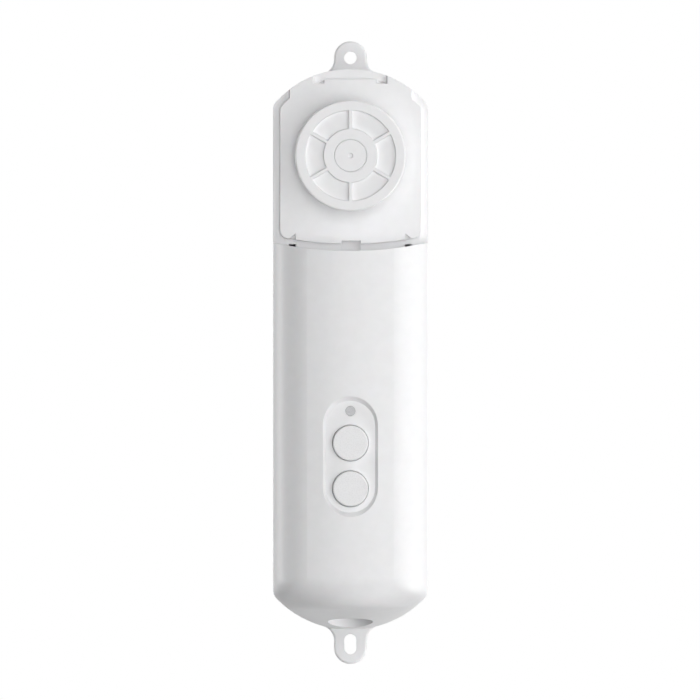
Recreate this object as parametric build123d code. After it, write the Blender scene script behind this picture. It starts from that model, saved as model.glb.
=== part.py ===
from build123d import *
import math
import os

# Frame: x to the right, z up, the wall is the plane y = 0 and the front looks along -y.
# A depth is a distance from the wall, so a point at depth d has y = -d. All sizes are in millimetres.

# Body outline, seen from the front
BODY_WIDTH = 46.2
BODY_HEIGHT = 167.8
END_RADIUS = 30.0
SHOULDER_RADIUS = 3.5
WALL = 2.0

# Body section and its lower end
BODY_DEPTH = 42.0
CORNER_RADIUS = 12.5
CROWN_RADIUS = 70.0
END_ROUND = 9.5
END_SLOPE = 12.0
END_TIP = 0.35
END_CROWN = 1.04
END_CROWN_DROP = 0.6
ROUND_STEPS = 14
SLOPE_STEPS = 22

# Back plate with its two screw lugs
PLATE_THICKNESS = 3.0
PLATE_EDGE_ROUND = 0.7
PLATE_RIB_HEIGHT = 1.6
PLATE_RIB_THICKNESS = 1.2
PLATE_RIB_GAP = 0.15
LUG_RADIUS = 4.95
LUG_FLARE = 4.5
TOP_LUG_REACH = 3.7
TOP_HOLE_RADIUS = 1.9
BOTTOM_LUG_REACH = 5.3
SLOT_REACH = 4.3
SLOT_WIDTH = 3.6
SLOT_LENGTH = 6.1

# Head: seat for the trim cover, raised deck, chain ways and snap notches
SEAT_DEPTH = 26.0
DECK_STEP = 2.0
SEAT_WIDTH = 2.1
SEAM_DROP = 28.35
SEAM_RADIUS = 110.0
DECK_TOP_INSET = 3.05
DECK_CORNER_RADIUS = 2.5
CHAIN_WAY_WIDTH = 7.4
NOTCH_SINK = 1.0
TOP_NOTCH_X = 9.45
TOP_NOTCH_WIDTH = 3.3
TOP_NOTCH_LENGTH = 1.35
SIDE_NOTCH_INSET = 5.35
SIDE_NOTCH_WIDTH = 2.9
SIDE_NOTCH_RISE = 1.05
SIDE_NOTCH_HEIGHT = 4.2
SNAP_SLOT_HEIGHT = 0.95
SNAP_SLOT_WIDTH = 2.0
MIDDLE_NOTCH_X = 0.25
MIDDLE_NOTCH_WIDTH = 5.6
MIDDLE_NOTCH_HEIGHT = 3.05

# Bead chain and the wheel that drives it
BEAD_DIAMETER = 4.5
BEAD_PITCH = 6.0
BEAD_COUNT = 15
BEAD_CLEARANCE = 0.1
WHEEL_INSET = 26.0
WHEEL_RADIUS = 16.5
REAR_FLANGE_STEP = 0.5
REAR_FLANGE_THICKNESS = 1.3
FRONT_FLANGE_THICKNESS = 2.9
GROOVE_WIDTH = 5.3
BARREL_SINK = 0.23
LINK_SLOT_WIDTH = 1.6
LINK_SLOT_DEPTH = 1.0
WHEEL_GAP = 0.5
RIM_WIDTH = 3.0
HUB_RADIUS = 8.0
POCKET_DEPTH = 0.9
POCKET_COUNT = 6
RIB_WIDTH = 1.0
WHEEL_EDGE_ROUND = 0.5
CAP_RADIUS = 4.8
CAP_THICKNESS = 1.2
CAP_GAP = 0.12
CAP_DIMPLE_RADIUS = 0.7
CAP_DIMPLE_DEPTH = 0.25

# Output shaft and its bushes
SHAFT_RADIUS = 3.0
SHAFT_FLAT = 0.5
FIT_GAP = 0.05
RUNNING_GAP = 0.04
FRONT_BUSH_RADIUS = 5.0
FRONT_BUSH_FLANGE_RADIUS = 6.2
BUSH_FLANGE_THICKNESS = 0.6
DECK_BOSS_RADIUS = 7.6
DECK_BOSS_LENGTH = 3.2
REAR_BUSH_RADIUS = 4.4
REAR_BUSH_LENGTH = 4.0
REAR_BOSS_RADIUS = 6.2
SHAFT_END_GAP = 0.3
SIDE_GAP = 0.25

# Bevel gears between the gear motor and the output shaft
GEAR_MODULE = 1.0
GEAR_TEETH = 24
PINION_TEETH = 12
PRESSURE_ANGLE = 20.0
GEAR_FACE = 4.6
BACKLASH = 0.14
ROOT_CLEARANCE = 0.25
GEAR_HUB_RADIUS = 7.0
PINION_HUB_RADIUS = 4.0
PINION_HUB_LENGTH = 1.5

# Gear motor, standing under the wheel with its axis upright
MOTOR_RADIUS = 10.0
MOTOR_GAP = 0.6
MOTOR_LENGTH = 23.0
MOTOR_EDGE_ROUND = 1.2
GEARHEAD_LENGTH = 19.6
GEARHEAD_PLATE = 1.5
NOSE_RADIUS = 4.5
END_CAP_RADIUS = 8.6
END_CAP_LENGTH = 2.0
PINION_SHAFT_RADIUS = 2.0
BRACKET_THICKNESS = 1.5
BRACKET_SIDE_GAP = 1.4
BRACKET_TAB_WIDTH = 6.0
BRACKET_TAB_HEIGHT = 7.5
BRACKET_SCREW_SPACING = 14.0

# Battery: the two largest round cells that fit side by side in a cradle, under the motor and behind the board
CELL_GAP = 0.3
CRADLE_SIDE_GAP = 0.7
CRADLE_TOP_GAP = 1.8
CRADLE_FOOT_GAP = 0.3
CRADLE_FRONT_GAP = 3.0
CRADLE_WALL = 1.4
CRADLE_END = 1.2
CRADLE_POST_RADIUS = 1.8
STRIP_THICKNESS = 0.3
STRIP_WIDTH = 7.0

# Main board, buttons, switches and indicator
BOARD_THICKNESS = 1.6
BOARD_SIDE_GAP = 5.5
BOARD_DROP = 12.55
BOARD_FOOT = 25.25
BOARD_SCREW_INSET = 0.6
PANEL_WIDTH = 17.3
PANEL_LENGTH = 35.9
PANEL_Z = -31.75
PANEL_SLOPE = 1.3
PANEL_SINK = 1.3
PANEL_FLOOR_THICKNESS = 2.4
BUTTON_RADIUS = 5.3
BUTTON_GAP = 0.15
BUTTON_UP_RISE = 4.05
BUTTON_CLEARANCE = 1.0
BUTTON_PROUD = 1.7
BUTTON_ROUND = 0.45
BUTTON_FLANGE_LIP = 0.85
BUTTON_FLANGE_THICKNESS = 0.8
BUTTON_STOP_GAP = 0.05
BUTTON_STEM_RADIUS = 1.5
BUTTON_STEM_LENGTH = 1.35
BUTTON_TRAVEL = 0.5
SWITCH_SIZE = 6.0
SWITCH_HEIGHT = 3.5
PLUNGER_RADIUS = 1.7
PLUNGER_PROUD = 1.0
LIGHT_CLEARANCE = 0.95
LIGHT_RADIUS = 1.45
LIGHT_GAP = 0.05
LIGHT_FLANGE_RADIUS = 2.3
LIGHT_FLANGE_THICKNESS = 1.0
LED_SIZE = 2.4
LED_HEIGHT = 1.2
MODULE_WIDTH = 16.0
MODULE_LENGTH = 22.0
MODULE_BOARD = 0.8
SHIELD_HEIGHT = 2.2
CHIP_HEIGHT = 1.2
TALL_PART_HEIGHT = 3.6
CHIP_SIZE = 5.0
PLUG_WIDTH = 7.0
PLUG_HEIGHT = 4.5

# Charging port in the lower end
PORT_RADIUS = 6.7
PORT_DEPTH = 13.4
PORT_SINK = 4.7
PORT_WALL = 1.4
SOCKET_WIDTH = 8.9
SOCKET_HEIGHT = 3.2
SOCKET_LENGTH = 6.4
SOCKET_WALL = 0.3
SOCKET_GAP = 0.15
TONGUE_WIDTH = 6.6
TONGUE_THICKNESS = 0.7
TONGUE_LENGTH = 4.6
CHARGE_BOARD_WIDTH = 19.0
CHARGE_BOARD_THICKNESS = 1.0

# Screws: radius of the shank, head radius, head height
SCREW_RADIUS = 0.95
SCREW_HEAD_RADIUS = 1.9
SCREW_HEAD_HEIGHT = 1.2
SCREW_GAP = 0.05
BOSS_RADIUS = 2.6
HOUSING_SCREW_LENGTH = 9.0
BOARD_SCREW_LENGTH = 5.0
HEAD_SCREW_SIDE_INSET = 7.6
HEAD_SCREW_TOP_INSET = 13.4
SIDE_SCREW_DROP = 2.55
SIDE_SCREW_INSET = 0.3
LOW_SCREW_SIDE_INSET = 8.1
LOW_SCREW_RISE = 8.3
WHEEL_SCREW_RADIUS = 1.45
WHEEL_SCREW_HEAD_RADIUS = 2.7
WHEEL_SCREW_HEAD_HEIGHT = 1.6
WHEEL_SCREW_LENGTH = 8.0

# Places that follow from the sizes above
HALF_WIDTH = BODY_WIDTH / 2
HALF_HEIGHT = BODY_HEIGHT / 2
TOP_LUG_Z = HALF_HEIGHT + TOP_LUG_REACH
BOTTOM_LUG_Z = -HALF_HEIGHT - BOTTOM_LUG_REACH
SLOT_Z = -HALF_HEIGHT - SLOT_REACH
WHEEL_Z = HALF_HEIGHT - WHEEL_INSET
SEAM_Z = WHEEL_Z - SEAM_DROP
DECK_TOP_Z = HALF_HEIGHT - DECK_TOP_INSET
DECK_DEPTH = SEAT_DEPTH + DECK_STEP
CEILING_DEPTH = SEAT_DEPTH - WALL
NOTCH_DEPTH = SEAT_DEPTH - NOTCH_SINK
TOP_NOTCH_Z = DECK_TOP_Z - TOP_NOTCH_LENGTH
SIDE_NOTCH_X = HALF_WIDTH - SIDE_NOTCH_INSET
SIDE_NOTCH_LOW_Z = SEAM_Z + SIDE_NOTCH_RISE
SIDE_NOTCH_HIGH_Z = SIDE_NOTCH_LOW_Z + SIDE_NOTCH_HEIGHT
BEAD_CIRCLE = BEAD_PITCH / (2 * math.sin(math.pi / BEAD_COUNT))
BARREL_RADIUS = BEAD_CIRCLE - BARREL_SINK
REAR_FLANGE_RADIUS = WHEEL_RADIUS - REAR_FLANGE_STEP
RING_RADIUS = WHEEL_RADIUS - RIM_WIDTH
WHEEL_BACK = DECK_DEPTH + WHEEL_GAP
GROOVE_BACK = WHEEL_BACK + REAR_FLANGE_THICKNESS
WHEEL_FRONT = GROOVE_BACK + GROOVE_WIDTH + FRONT_FLANGE_THICKNESS
GEAR_RADIUS = GEAR_MODULE * GEAR_TEETH / 2
PINION_RADIUS = GEAR_MODULE * PINION_TEETH / 2
GEAR_FRONT_DEPTH = SEAT_DEPTH - DECK_BOSS_LENGTH - BUSH_FLANGE_THICKNESS - SIDE_GAP
PINION_BASE_Z = WHEEL_Z - GEAR_RADIUS
GEARHEAD_RADIUS = MOTOR_RADIUS
MOTOR_DEPTH = PLATE_THICKNESS + MOTOR_GAP + MOTOR_RADIUS
BRACKET_Z = PINION_BASE_Z - PINION_HUB_LENGTH - BRACKET_THICKNESS - GEAR_MODULE
BRACKET_HALF_WIDTH = HALF_WIDTH - WALL - BRACKET_SIDE_GAP
BRACKET_SCREW_X = BRACKET_HALF_WIDTH - BRACKET_TAB_WIDTH / 2
BRACKET_SCREW_Z = BRACKET_Z + BRACKET_THICKNESS + BRACKET_TAB_HEIGHT / 2
GEARHEAD_TOP_Z = BRACKET_Z
MOTOR_TOP_Z = GEARHEAD_TOP_Z - GEARHEAD_LENGTH
MOTOR_BOTTOM_Z = MOTOR_TOP_Z - MOTOR_LENGTH
PANEL_FLOOR_DEPTH = BODY_DEPTH - PANEL_SINK
PAD_BACK_DEPTH = PANEL_FLOOR_DEPTH - PANEL_FLOOR_THICKNESS
BUTTON_BACK_DEPTH = PAD_BACK_DEPTH - BUTTON_STOP_GAP - BUTTON_FLANGE_THICKNESS
SWITCH_FRONT = BUTTON_BACK_DEPTH - BUTTON_STEM_LENGTH - PLUNGER_PROUD
BOARD_FRONT_DEPTH = SWITCH_FRONT - SWITCH_HEIGHT
BOARD_BACK_DEPTH = BOARD_FRONT_DEPTH - BOARD_THICKNESS
BOARD_HALF_WIDTH = HALF_WIDTH - WALL - BOARD_SIDE_GAP
BOARD_TOP_Z = SEAM_Z - BOARD_DROP
BOARD_BOTTOM_Z = PANEL_Z - BOARD_FOOT
BOARD_SCREW_X = BOARD_HALF_WIDTH - BOSS_RADIUS - BOARD_SCREW_INSET
BOARD_SCREW_TOP_Z = BOARD_TOP_Z - BOSS_RADIUS - BOARD_SCREW_INSET
BOARD_SCREW_LOW_Z = BOARD_BOTTOM_Z + BOSS_RADIUS + BOARD_SCREW_INSET
MODULE_TOP_Z = BOARD_SCREW_TOP_Z - BOSS_RADIUS - BOARD_SCREW_INSET
BUTTON_FLANGE_RADIUS = BUTTON_RADIUS + BUTTON_GAP + BUTTON_FLANGE_LIP
BUTTON_UP_Z = PANEL_Z + BUTTON_UP_RISE
BUTTON_DOWN_Z = BUTTON_UP_Z - 2 * BUTTON_FLANGE_RADIUS - BUTTON_CLEARANCE
LIGHT_Z = BUTTON_UP_Z + BUTTON_FLANGE_RADIUS + LIGHT_FLANGE_RADIUS + LIGHT_CLEARANCE
PORT_FLOOR_Z = PORT_SINK - HALF_HEIGHT
HEAD_SCREW_X = HALF_WIDTH - HEAD_SCREW_SIDE_INSET
HEAD_SCREW_Z = HALF_HEIGHT - HEAD_SCREW_TOP_INSET
SIDE_SCREW_X = HALF_WIDTH - WALL - BOSS_RADIUS + SIDE_SCREW_INSET
SIDE_SCREW_Z = SEAM_Z - SIDE_SCREW_DROP
LOW_SCREW_X = HALF_WIDTH - LOW_SCREW_SIDE_INSET
LOW_SCREW_Z = LOW_SCREW_RISE - HALF_HEIGHT
CELL_ROOM_ACROSS = HALF_WIDTH - WALL - CRADLE_SIDE_GAP - CRADLE_WALL - 2 * CELL_GAP
CRADLE_ROOM_FRONT = BOARD_BACK_DEPTH - TALL_PART_HEIGHT - CRADLE_FRONT_GAP
CELL_ROOM_DEEP = CRADLE_ROOM_FRONT - CRADLE_WALL - 2 * CELL_GAP - PLATE_THICKNESS
CELL_RADIUS = min(CELL_ROOM_ACROSS, CELL_ROOM_DEEP) / 2
CELL_DEPTH = PLATE_THICKNESS + CELL_GAP + CELL_RADIUS
CELL_X = CELL_RADIUS + CELL_GAP
CELL_TOP_Z = MOTOR_BOTTOM_Z - END_CAP_LENGTH - CRADLE_TOP_GAP - CRADLE_END - STRIP_THICKNESS
CELL_BOTTOM_Z = LOW_SCREW_Z + BOSS_RADIUS + CRADLE_FOOT_GAP + CRADLE_END + STRIP_THICKNESS
HOUSING_SCREW_PLACES = [
    (side * x, z)
    for x, z in ((HEAD_SCREW_X, HEAD_SCREW_Z), (SIDE_SCREW_X, SIDE_SCREW_Z), (LOW_SCREW_X, LOW_SCREW_Z))
    for side in (-1, 1)
]
BOARD_SCREW_PLACES = [(side * BOARD_SCREW_X, z) for z in (BOARD_SCREW_TOP_Z, BOARD_SCREW_LOW_Z) for side in (-1, 1)]


def facing(depth, x=0.0, z=0.0):
    """A sketch plane parallel to the wall: local x to the right, local y up, its normal to the front."""
    return Plane(origin=(x, -depth, z), x_dir=(1, 0, 0), z_dir=(0, -1, 0))


def level(z, x=0.0, depth=0.0):
    """A level sketch plane: local x to the right, local y to the front, its normal down."""
    return Plane(origin=(x, -depth, z), x_dir=(1, 0, 0), z_dir=(0, 0, -1))


def disc(depth_back, depth_front, radius, x=0.0, z=0.0):
    """A round bar square to the wall, between two depths."""
    return extrude(facing(depth_back, x, z) * Circle(radius), amount=depth_front - depth_back)


def post(low_z, high_z, radius, x=0.0, depth=0.0):
    """An upright round bar between two heights."""
    return extrude(level(high_z, x, depth) * Circle(radius), amount=high_z - low_z)


def block(x_range, depth_range, z_range):
    """A box given by its ranges in x, depth and z."""
    width = x_range[1] - x_range[0]
    height = z_range[1] - z_range[0]
    centre = ((x_range[0] + x_range[1]) / 2, (z_range[0] + z_range[1]) / 2)
    return extrude(facing(depth_range[0], *centre) * Rectangle(width, height), amount=depth_range[1] - depth_range[0])


def obround(width, height):
    """An upright slot shape: two half circles joined by straight sides."""
    return Rectangle(width, height - width) + Pos(0, (height - width) / 2) * Circle(width / 2) + Pos(
        0, (width - height) / 2) * Circle(width / 2)


def outline(inset=0.0):
    """The body seen from the front, drawn in by inset: straight sides, round ends and blended shoulders."""
    half = HALF_WIDTH - inset
    radius = END_RADIUS - inset
    centre = HALF_HEIGHT - END_RADIUS
    shoulder = centre + math.sqrt(radius**2 - half**2)
    tip = centre + radius
    edges = [
        Line((-half, -shoulder), (-half, shoulder)),
        ThreePointArc((-half, shoulder), (0, tip), (half, shoulder)),
        Line((half, shoulder), (half, -shoulder)),
        ThreePointArc((half, -shoulder), (0, -tip), (-half, -shoulder)),
    ]
    face = make_face(edges)
    return fillet(face.vertices(), max(SHOULDER_RADIUS - inset, 0.6))


def half_width_at(z, inset):
    """Half the width of the outline at a height in its lower end, with the shoulder's blend."""
    half = HALF_WIDTH - inset
    radius = END_RADIUS - inset
    centre = HALF_HEIGHT - END_RADIUS
    blend = max(SHOULDER_RADIUS - inset, 0.6)
    reach = abs(z) - centre
    blend_rise = math.sqrt((radius - blend) ** 2 - (half - blend) ** 2)
    blend_end = blend_rise * radius / (radius - blend)
    if reach <= blend_rise:
        return half
    if reach < blend_end:
        return half - blend + math.sqrt(blend**2 - (reach - blend_rise) ** 2)
    return math.sqrt(max(radius**2 - reach**2, 0.0))


def end_start():
    """Height at which the front starts to round over into the lower end."""
    slope = math.radians(END_SLOPE)
    rise = (END_ROUND * (1 - math.sin(slope)) + (BODY_DEPTH - PLATE_THICKNESS) * math.sin(slope)) / math.cos(slope)
    return rise - HALF_HEIGHT


def front_depth_at(z, inset):
    """Depth of the front at a height: level, then a round, then the sloping end wall."""
    slope = math.radians(END_SLOPE)
    start = end_start()
    centre_depth = BODY_DEPTH - END_ROUND
    radius = END_ROUND - inset
    if z >= start:
        return BODY_DEPTH - inset
    if start - z <= radius * math.cos(slope):
        return centre_depth + math.sqrt(radius**2 - (start - z) ** 2)
    foot = inset / math.cos(slope) - HALF_HEIGHT
    return PLATE_THICKNESS + (z - foot) / math.tan(slope)


def crown_radius(z, inset):
    """Radius of the crowned front at a height: wide on the body, close to half the outline on the end wall."""
    start = end_start()
    half = half_width_at(z, 0)
    run = min(max((start - z) / (END_ROUND * math.cos(math.radians(END_SLOPE))), 0.0), 1.0)
    share = run * run * (3 - 2 * run)
    drop = END_CROWN_DROP * (front_depth_at(z, 0) - PLATE_THICKNESS)
    tight = max(END_CROWN * half, (half**2 + drop**2) / (2 * drop))
    return 1 / ((1 - share) / CROWN_RADIUS + share / tight) - inset


def section(z, inset):
    """The body cut level: upright sides, round corners and a crowned front, open towards the wall."""
    half = half_width_at(z, inset)
    front = front_depth_at(z, inset)
    share = (front - PLATE_THICKNESS) / (BODY_DEPTH - PLATE_THICKNESS - inset)
    corner = min((CORNER_RADIUS - inset) * share, 0.75 * half)
    crown = crown_radius(z, inset)
    corner_x = half - corner
    crown_centre = front - crown
    corner_depth = crown_centre + math.sqrt((crown - corner) ** 2 - corner_x**2)
    touch_x = crown * corner_x / (crown - corner)
    touch_depth = crown_centre + crown * (corner_depth - crown_centre) / (crown - corner)
    side_angle = math.atan2(touch_depth - corner_depth, touch_x - corner_x) / 2
    middle_x = corner_x + corner * math.cos(side_angle)
    middle_depth = corner_depth + corner * math.sin(side_angle)
    back = PLATE_THICKNESS
    edges = [
        Line((-half, back), (-half, corner_depth)),
        ThreePointArc((-half, corner_depth), (-middle_x, middle_depth), (-touch_x, touch_depth)),
        ThreePointArc((-touch_x, touch_depth), (0, front), (touch_x, touch_depth)),
        ThreePointArc((touch_x, touch_depth), (middle_x, middle_depth), (half, corner_depth)),
        Line((half, corner_depth), (half, back)),
        Line((half, back), (-half, back)),
    ]
    return level(z) * make_face(edges)


def body_bar(inset, top_z):
    """The body below the head as a solid: a straight bar, the round at its lower end and the sloping end wall."""
    start = end_start()
    slope = math.radians(END_SLOPE)
    kink = start - (END_ROUND - inset) * math.cos(slope)
    centre = HALF_HEIGHT - END_RADIUS
    radius = END_RADIUS - inset
    first = math.acos((-kink - centre) / radius)
    last = math.acos(1 - (END_TIP + inset * (1 / math.cos(slope) - 1)) / radius)
    heights = [start + (kink - start) * k / ROUND_STEPS for k in range(ROUND_STEPS + 1)]
    for k in range(1, SLOPE_STEPS + 1):
        heights.append(-centre - radius * math.cos(first + (last - first) * k / SLOPE_STEPS))
    bar = extrude(section(start, inset), amount=top_z - start, dir=(0, 0, 1))
    return bar + loft([section(z, inset) for z in heights])


def seam_disc(radius, depth_back, depth_front):
    """The round whose lower edge is the seam between the head and the body's front."""
    return disc(depth_back, depth_front, radius, 0.0, SEAM_Z + SEAM_RADIUS)


def deck_outline(inset):
    """The raised deck seen from the front, drawn in by inset."""
    seam = Pos(0, SEAM_Z + SEAM_RADIUS) * Circle(SEAM_RADIUS - SEAT_WIDTH - inset)
    flat_top = Pos(0, DECK_TOP_Z - inset - BODY_HEIGHT / 2) * Rectangle(BODY_WIDTH, BODY_HEIGHT)
    face = outline(SEAT_WIDTH + inset) & seam & flat_top
    low = face.vertices().sort_by(Axis.Y)[0:2]
    return fillet(low, max(DECK_CORNER_RADIUS - inset, 0.6))


def chain_ways():
    """The two places where the deck runs out to the body's edge and the chain leaves the wheel."""
    low = WHEEL_Z + WHEEL_RADIUS / 2
    strip = Pos(0, low + HALF_HEIGHT / 2) * Rectangle(CHAIN_WAY_WIDTH, HALF_HEIGHT)
    both = Pos(-BEAD_CIRCLE, 0) * strip + Pos(BEAD_CIRCLE, 0) * strip
    return outline(0.0) & both


def notch(x, width, low_z, high_z, depth_back):
    """A snap notch cut from the front down to a depth."""
    return block((x - width / 2, x + width / 2), (depth_back, DECK_DEPTH + 1), (low_z, high_z))


def ramped_notch(corners, low_x, high_x):
    """A snap notch with these corners seen from the front; its hollow floor curves up from low_x to high_x."""
    front = DECK_DEPTH + 1
    column = extrude(facing(0) * make_face(Polyline(*corners, close=True)), amount=front, dir=(0, -1, 0))
    run = high_x - low_x
    radius = (run**2 + DECK_STEP**2) / (2 * DECK_STEP)
    half_turn = math.asin(run / radius) / 2
    middle = (low_x + radius * math.sin(half_turn), SEAT_DEPTH + radius * (1 - math.cos(half_turn)))
    edges = [
        ThreePointArc((low_x, SEAT_DEPTH), middle, (high_x, DECK_DEPTH)),
        Line((high_x, DECK_DEPTH), (high_x, front)),
        Line((high_x, front), (low_x, front)),
        Line((low_x, front), (low_x, SEAT_DEPTH)),
    ]
    above = extrude(level(0) * make_face(edges), amount=HALF_HEIGHT, dir=(0, 0, 1))
    return column & above


def top_notch(side):
    """One of the two notches in the seat above the wheel, with its ramp on the outer side."""
    inner = side * (TOP_NOTCH_X - TOP_NOTCH_WIDTH / 2)
    outer = side * (TOP_NOTCH_X + TOP_NOTCH_WIDTH / 2)
    corners = [(inner, TOP_NOTCH_Z), (outer, TOP_NOTCH_Z), (outer, HALF_HEIGHT), (inner, HALF_HEIGHT)]
    return ramped_notch(corners, inner, outer)


def side_notch(side):
    """The notch in one of the deck's lower corners, with a ramp and a slot for the cover's hook."""
    inner = side * (SIDE_NOTCH_X - SIDE_NOTCH_WIDTH / 2)
    outer = side * (SIDE_NOTCH_X + SIDE_NOTCH_WIDTH / 2)
    low = SIDE_NOTCH_LOW_Z + SNAP_SLOT_HEIGHT
    corners = [(inner, low), (outer, low), (outer, low + SNAP_SLOT_HEIGHT), (inner, SIDE_NOTCH_HIGH_Z)]
    slot_middle = inner + side * SNAP_SLOT_WIDTH / 2
    slot = notch(slot_middle, SNAP_SLOT_WIDTH, SIDE_NOTCH_LOW_Z, low, PLATE_THICKNESS)
    return ramped_notch(corners, outer, inner) + slot


def screw_boss(x, z, depth_front):
    """A round boss behind the front, down to the back plate."""
    return disc(PLATE_THICKNESS, depth_front, BOSS_RADIUS, x, z)


def front_housing():
    """The one-piece front moulding: body, head walls, deck, control panel and port recess."""
    seam_top = SEAM_Z + 12.0
    body = body_bar(0.0, seam_top) - seam_disc(SEAM_RADIUS, SEAT_DEPTH, BODY_DEPTH + 1)
    above = Pos(0, SEAM_Z + HALF_HEIGHT / 2) * Rectangle(BODY_WIDTH, HALF_HEIGHT)
    head = extrude(facing(PLATE_THICKNESS) * (outline(0.0) & above), amount=SEAT_DEPTH - PLATE_THICKNESS)
    deck = extrude(facing(SEAT_DEPTH) * (deck_outline(0.0) + chain_ways()), amount=DECK_STEP)
    outer = body + head + deck
    room = body_bar(WALL, seam_top) - seam_disc(SEAM_RADIUS + WALL, CEILING_DEPTH, BODY_DEPTH + 1)
    head_room = extrude(facing(PLATE_THICKNESS) * (outline(WALL) & above), amount=CEILING_DEPTH - PLATE_THICKNESS)
    deck_room = extrude(facing(CEILING_DEPTH) * deck_outline(WALL), amount=WALL)
    shell = outer - (room + head_room + deck_room)

    extras = disc(SEAT_DEPTH - DECK_BOSS_LENGTH, SEAT_DEPTH + DECK_STEP / 2, DECK_BOSS_RADIUS, 0, WHEEL_Z)
    pad_plane = facing(PAD_BACK_DEPTH, 0, PANEL_Z)
    extras += extrude(pad_plane * obround(PANEL_WIDTH, PANEL_LENGTH), amount=PANEL_FLOOR_THICKNESS)
    for x, z in HOUSING_SCREW_PLACES:
        extras += screw_boss(x, z, CEILING_DEPTH if z > SEAM_Z else SEAT_DEPTH - 2 * BOSS_RADIUS)
    for x, z in BOARD_SCREW_PLACES:
        extras += disc(BOARD_FRONT_DEPTH, BODY_DEPTH - WALL / 2, BOSS_RADIUS, x, z)
    for side in (-1, 1):
        bracket_boss_back = bracket_tab_depth()
        extras += disc(bracket_boss_back, SEAT_DEPTH, BOSS_RADIUS, side * BRACKET_SCREW_X, BRACKET_SCREW_Z)
        for z in cradle_post_heights():
            extras += disc(cradle_front(), BODY_DEPTH, CRADLE_POST_RADIUS, side * cradle_post_x(), z)
    extras += port_cup()
    shell += extras & outer

    shell -= disc(0, DECK_DEPTH + 1, FRONT_BUSH_RADIUS + FIT_GAP, 0, WHEEL_Z)
    panel = facing(PANEL_FLOOR_DEPTH, 0, PANEL_Z)
    floor_face = obround(PANEL_WIDTH - 2 * PANEL_SLOPE, PANEL_LENGTH - 2 * PANEL_SLOPE)
    rise = BODY_DEPTH - PANEL_FLOOR_DEPTH
    shell -= extrude(panel * floor_face, amount=rise, taper=-math.degrees(math.atan2(PANEL_SLOPE, rise)))
    for z in (BUTTON_UP_Z, BUTTON_DOWN_Z):
        shell -= disc(PAD_BACK_DEPTH - 1, BODY_DEPTH + 1, BUTTON_RADIUS + BUTTON_GAP, 0, z)
    shell -= disc(PAD_BACK_DEPTH - 1, BODY_DEPTH + 1, LIGHT_RADIUS + LIGHT_GAP, 0, LIGHT_Z)
    for x, z in HOUSING_SCREW_PLACES:
        shell -= disc(0, PLATE_THICKNESS + HOUSING_SCREW_LENGTH, SCREW_RADIUS + SCREW_GAP, x, z)
    for x, z in BOARD_SCREW_PLACES:
        shell -= disc(0, BOARD_BACK_DEPTH + BOARD_SCREW_LENGTH + 1, SCREW_RADIUS + SCREW_GAP, x, z)
    for side in (-1, 1):
        hole_front = bracket_tab_depth() - BRACKET_THICKNESS + BOARD_SCREW_LENGTH + SCREW_GAP
        shell -= disc(0, hole_front, SCREW_RADIUS + SCREW_GAP, side * BRACKET_SCREW_X, BRACKET_SCREW_Z)
        shell -= top_notch(side)
        shell -= side_notch(side)
    middle_top = SEAM_Z + MIDDLE_NOTCH_HEIGHT
    shell -= notch(MIDDLE_NOTCH_X, MIDDLE_NOTCH_WIDTH, SEAM_Z - WALL / 2, middle_top, NOTCH_DEPTH)
    shell -= post(PORT_FLOOR_Z - 10, PORT_FLOOR_Z, PORT_RADIUS, 0, PORT_DEPTH)
    mouth = obround(SOCKET_HEIGHT + 2 * SOCKET_GAP, SOCKET_WIDTH + 2 * SOCKET_GAP)
    shell -= extrude(level(PORT_FLOOR_Z + 3 * PORT_WALL, 0, PORT_DEPTH) * Rot(0, 0, 90) * mouth, amount=6 * PORT_WALL)
    return shell


def lug(z, low_z):
    """A screw lug seen from the front: a strip with a round end."""
    reach = abs(z) - abs(low_z)
    middle = (z + low_z) / 2
    return Pos(0, middle) * Rectangle(2 * LUG_RADIUS, reach) + Pos(0, z) * Circle(LUG_RADIUS)


def port_cup():
    """The wall and floor of the recess that the charging plug goes into."""
    return post(-HALF_HEIGHT, PORT_FLOOR_Z + PORT_WALL, PORT_RADIUS + PORT_WALL, 0, PORT_DEPTH)


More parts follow.
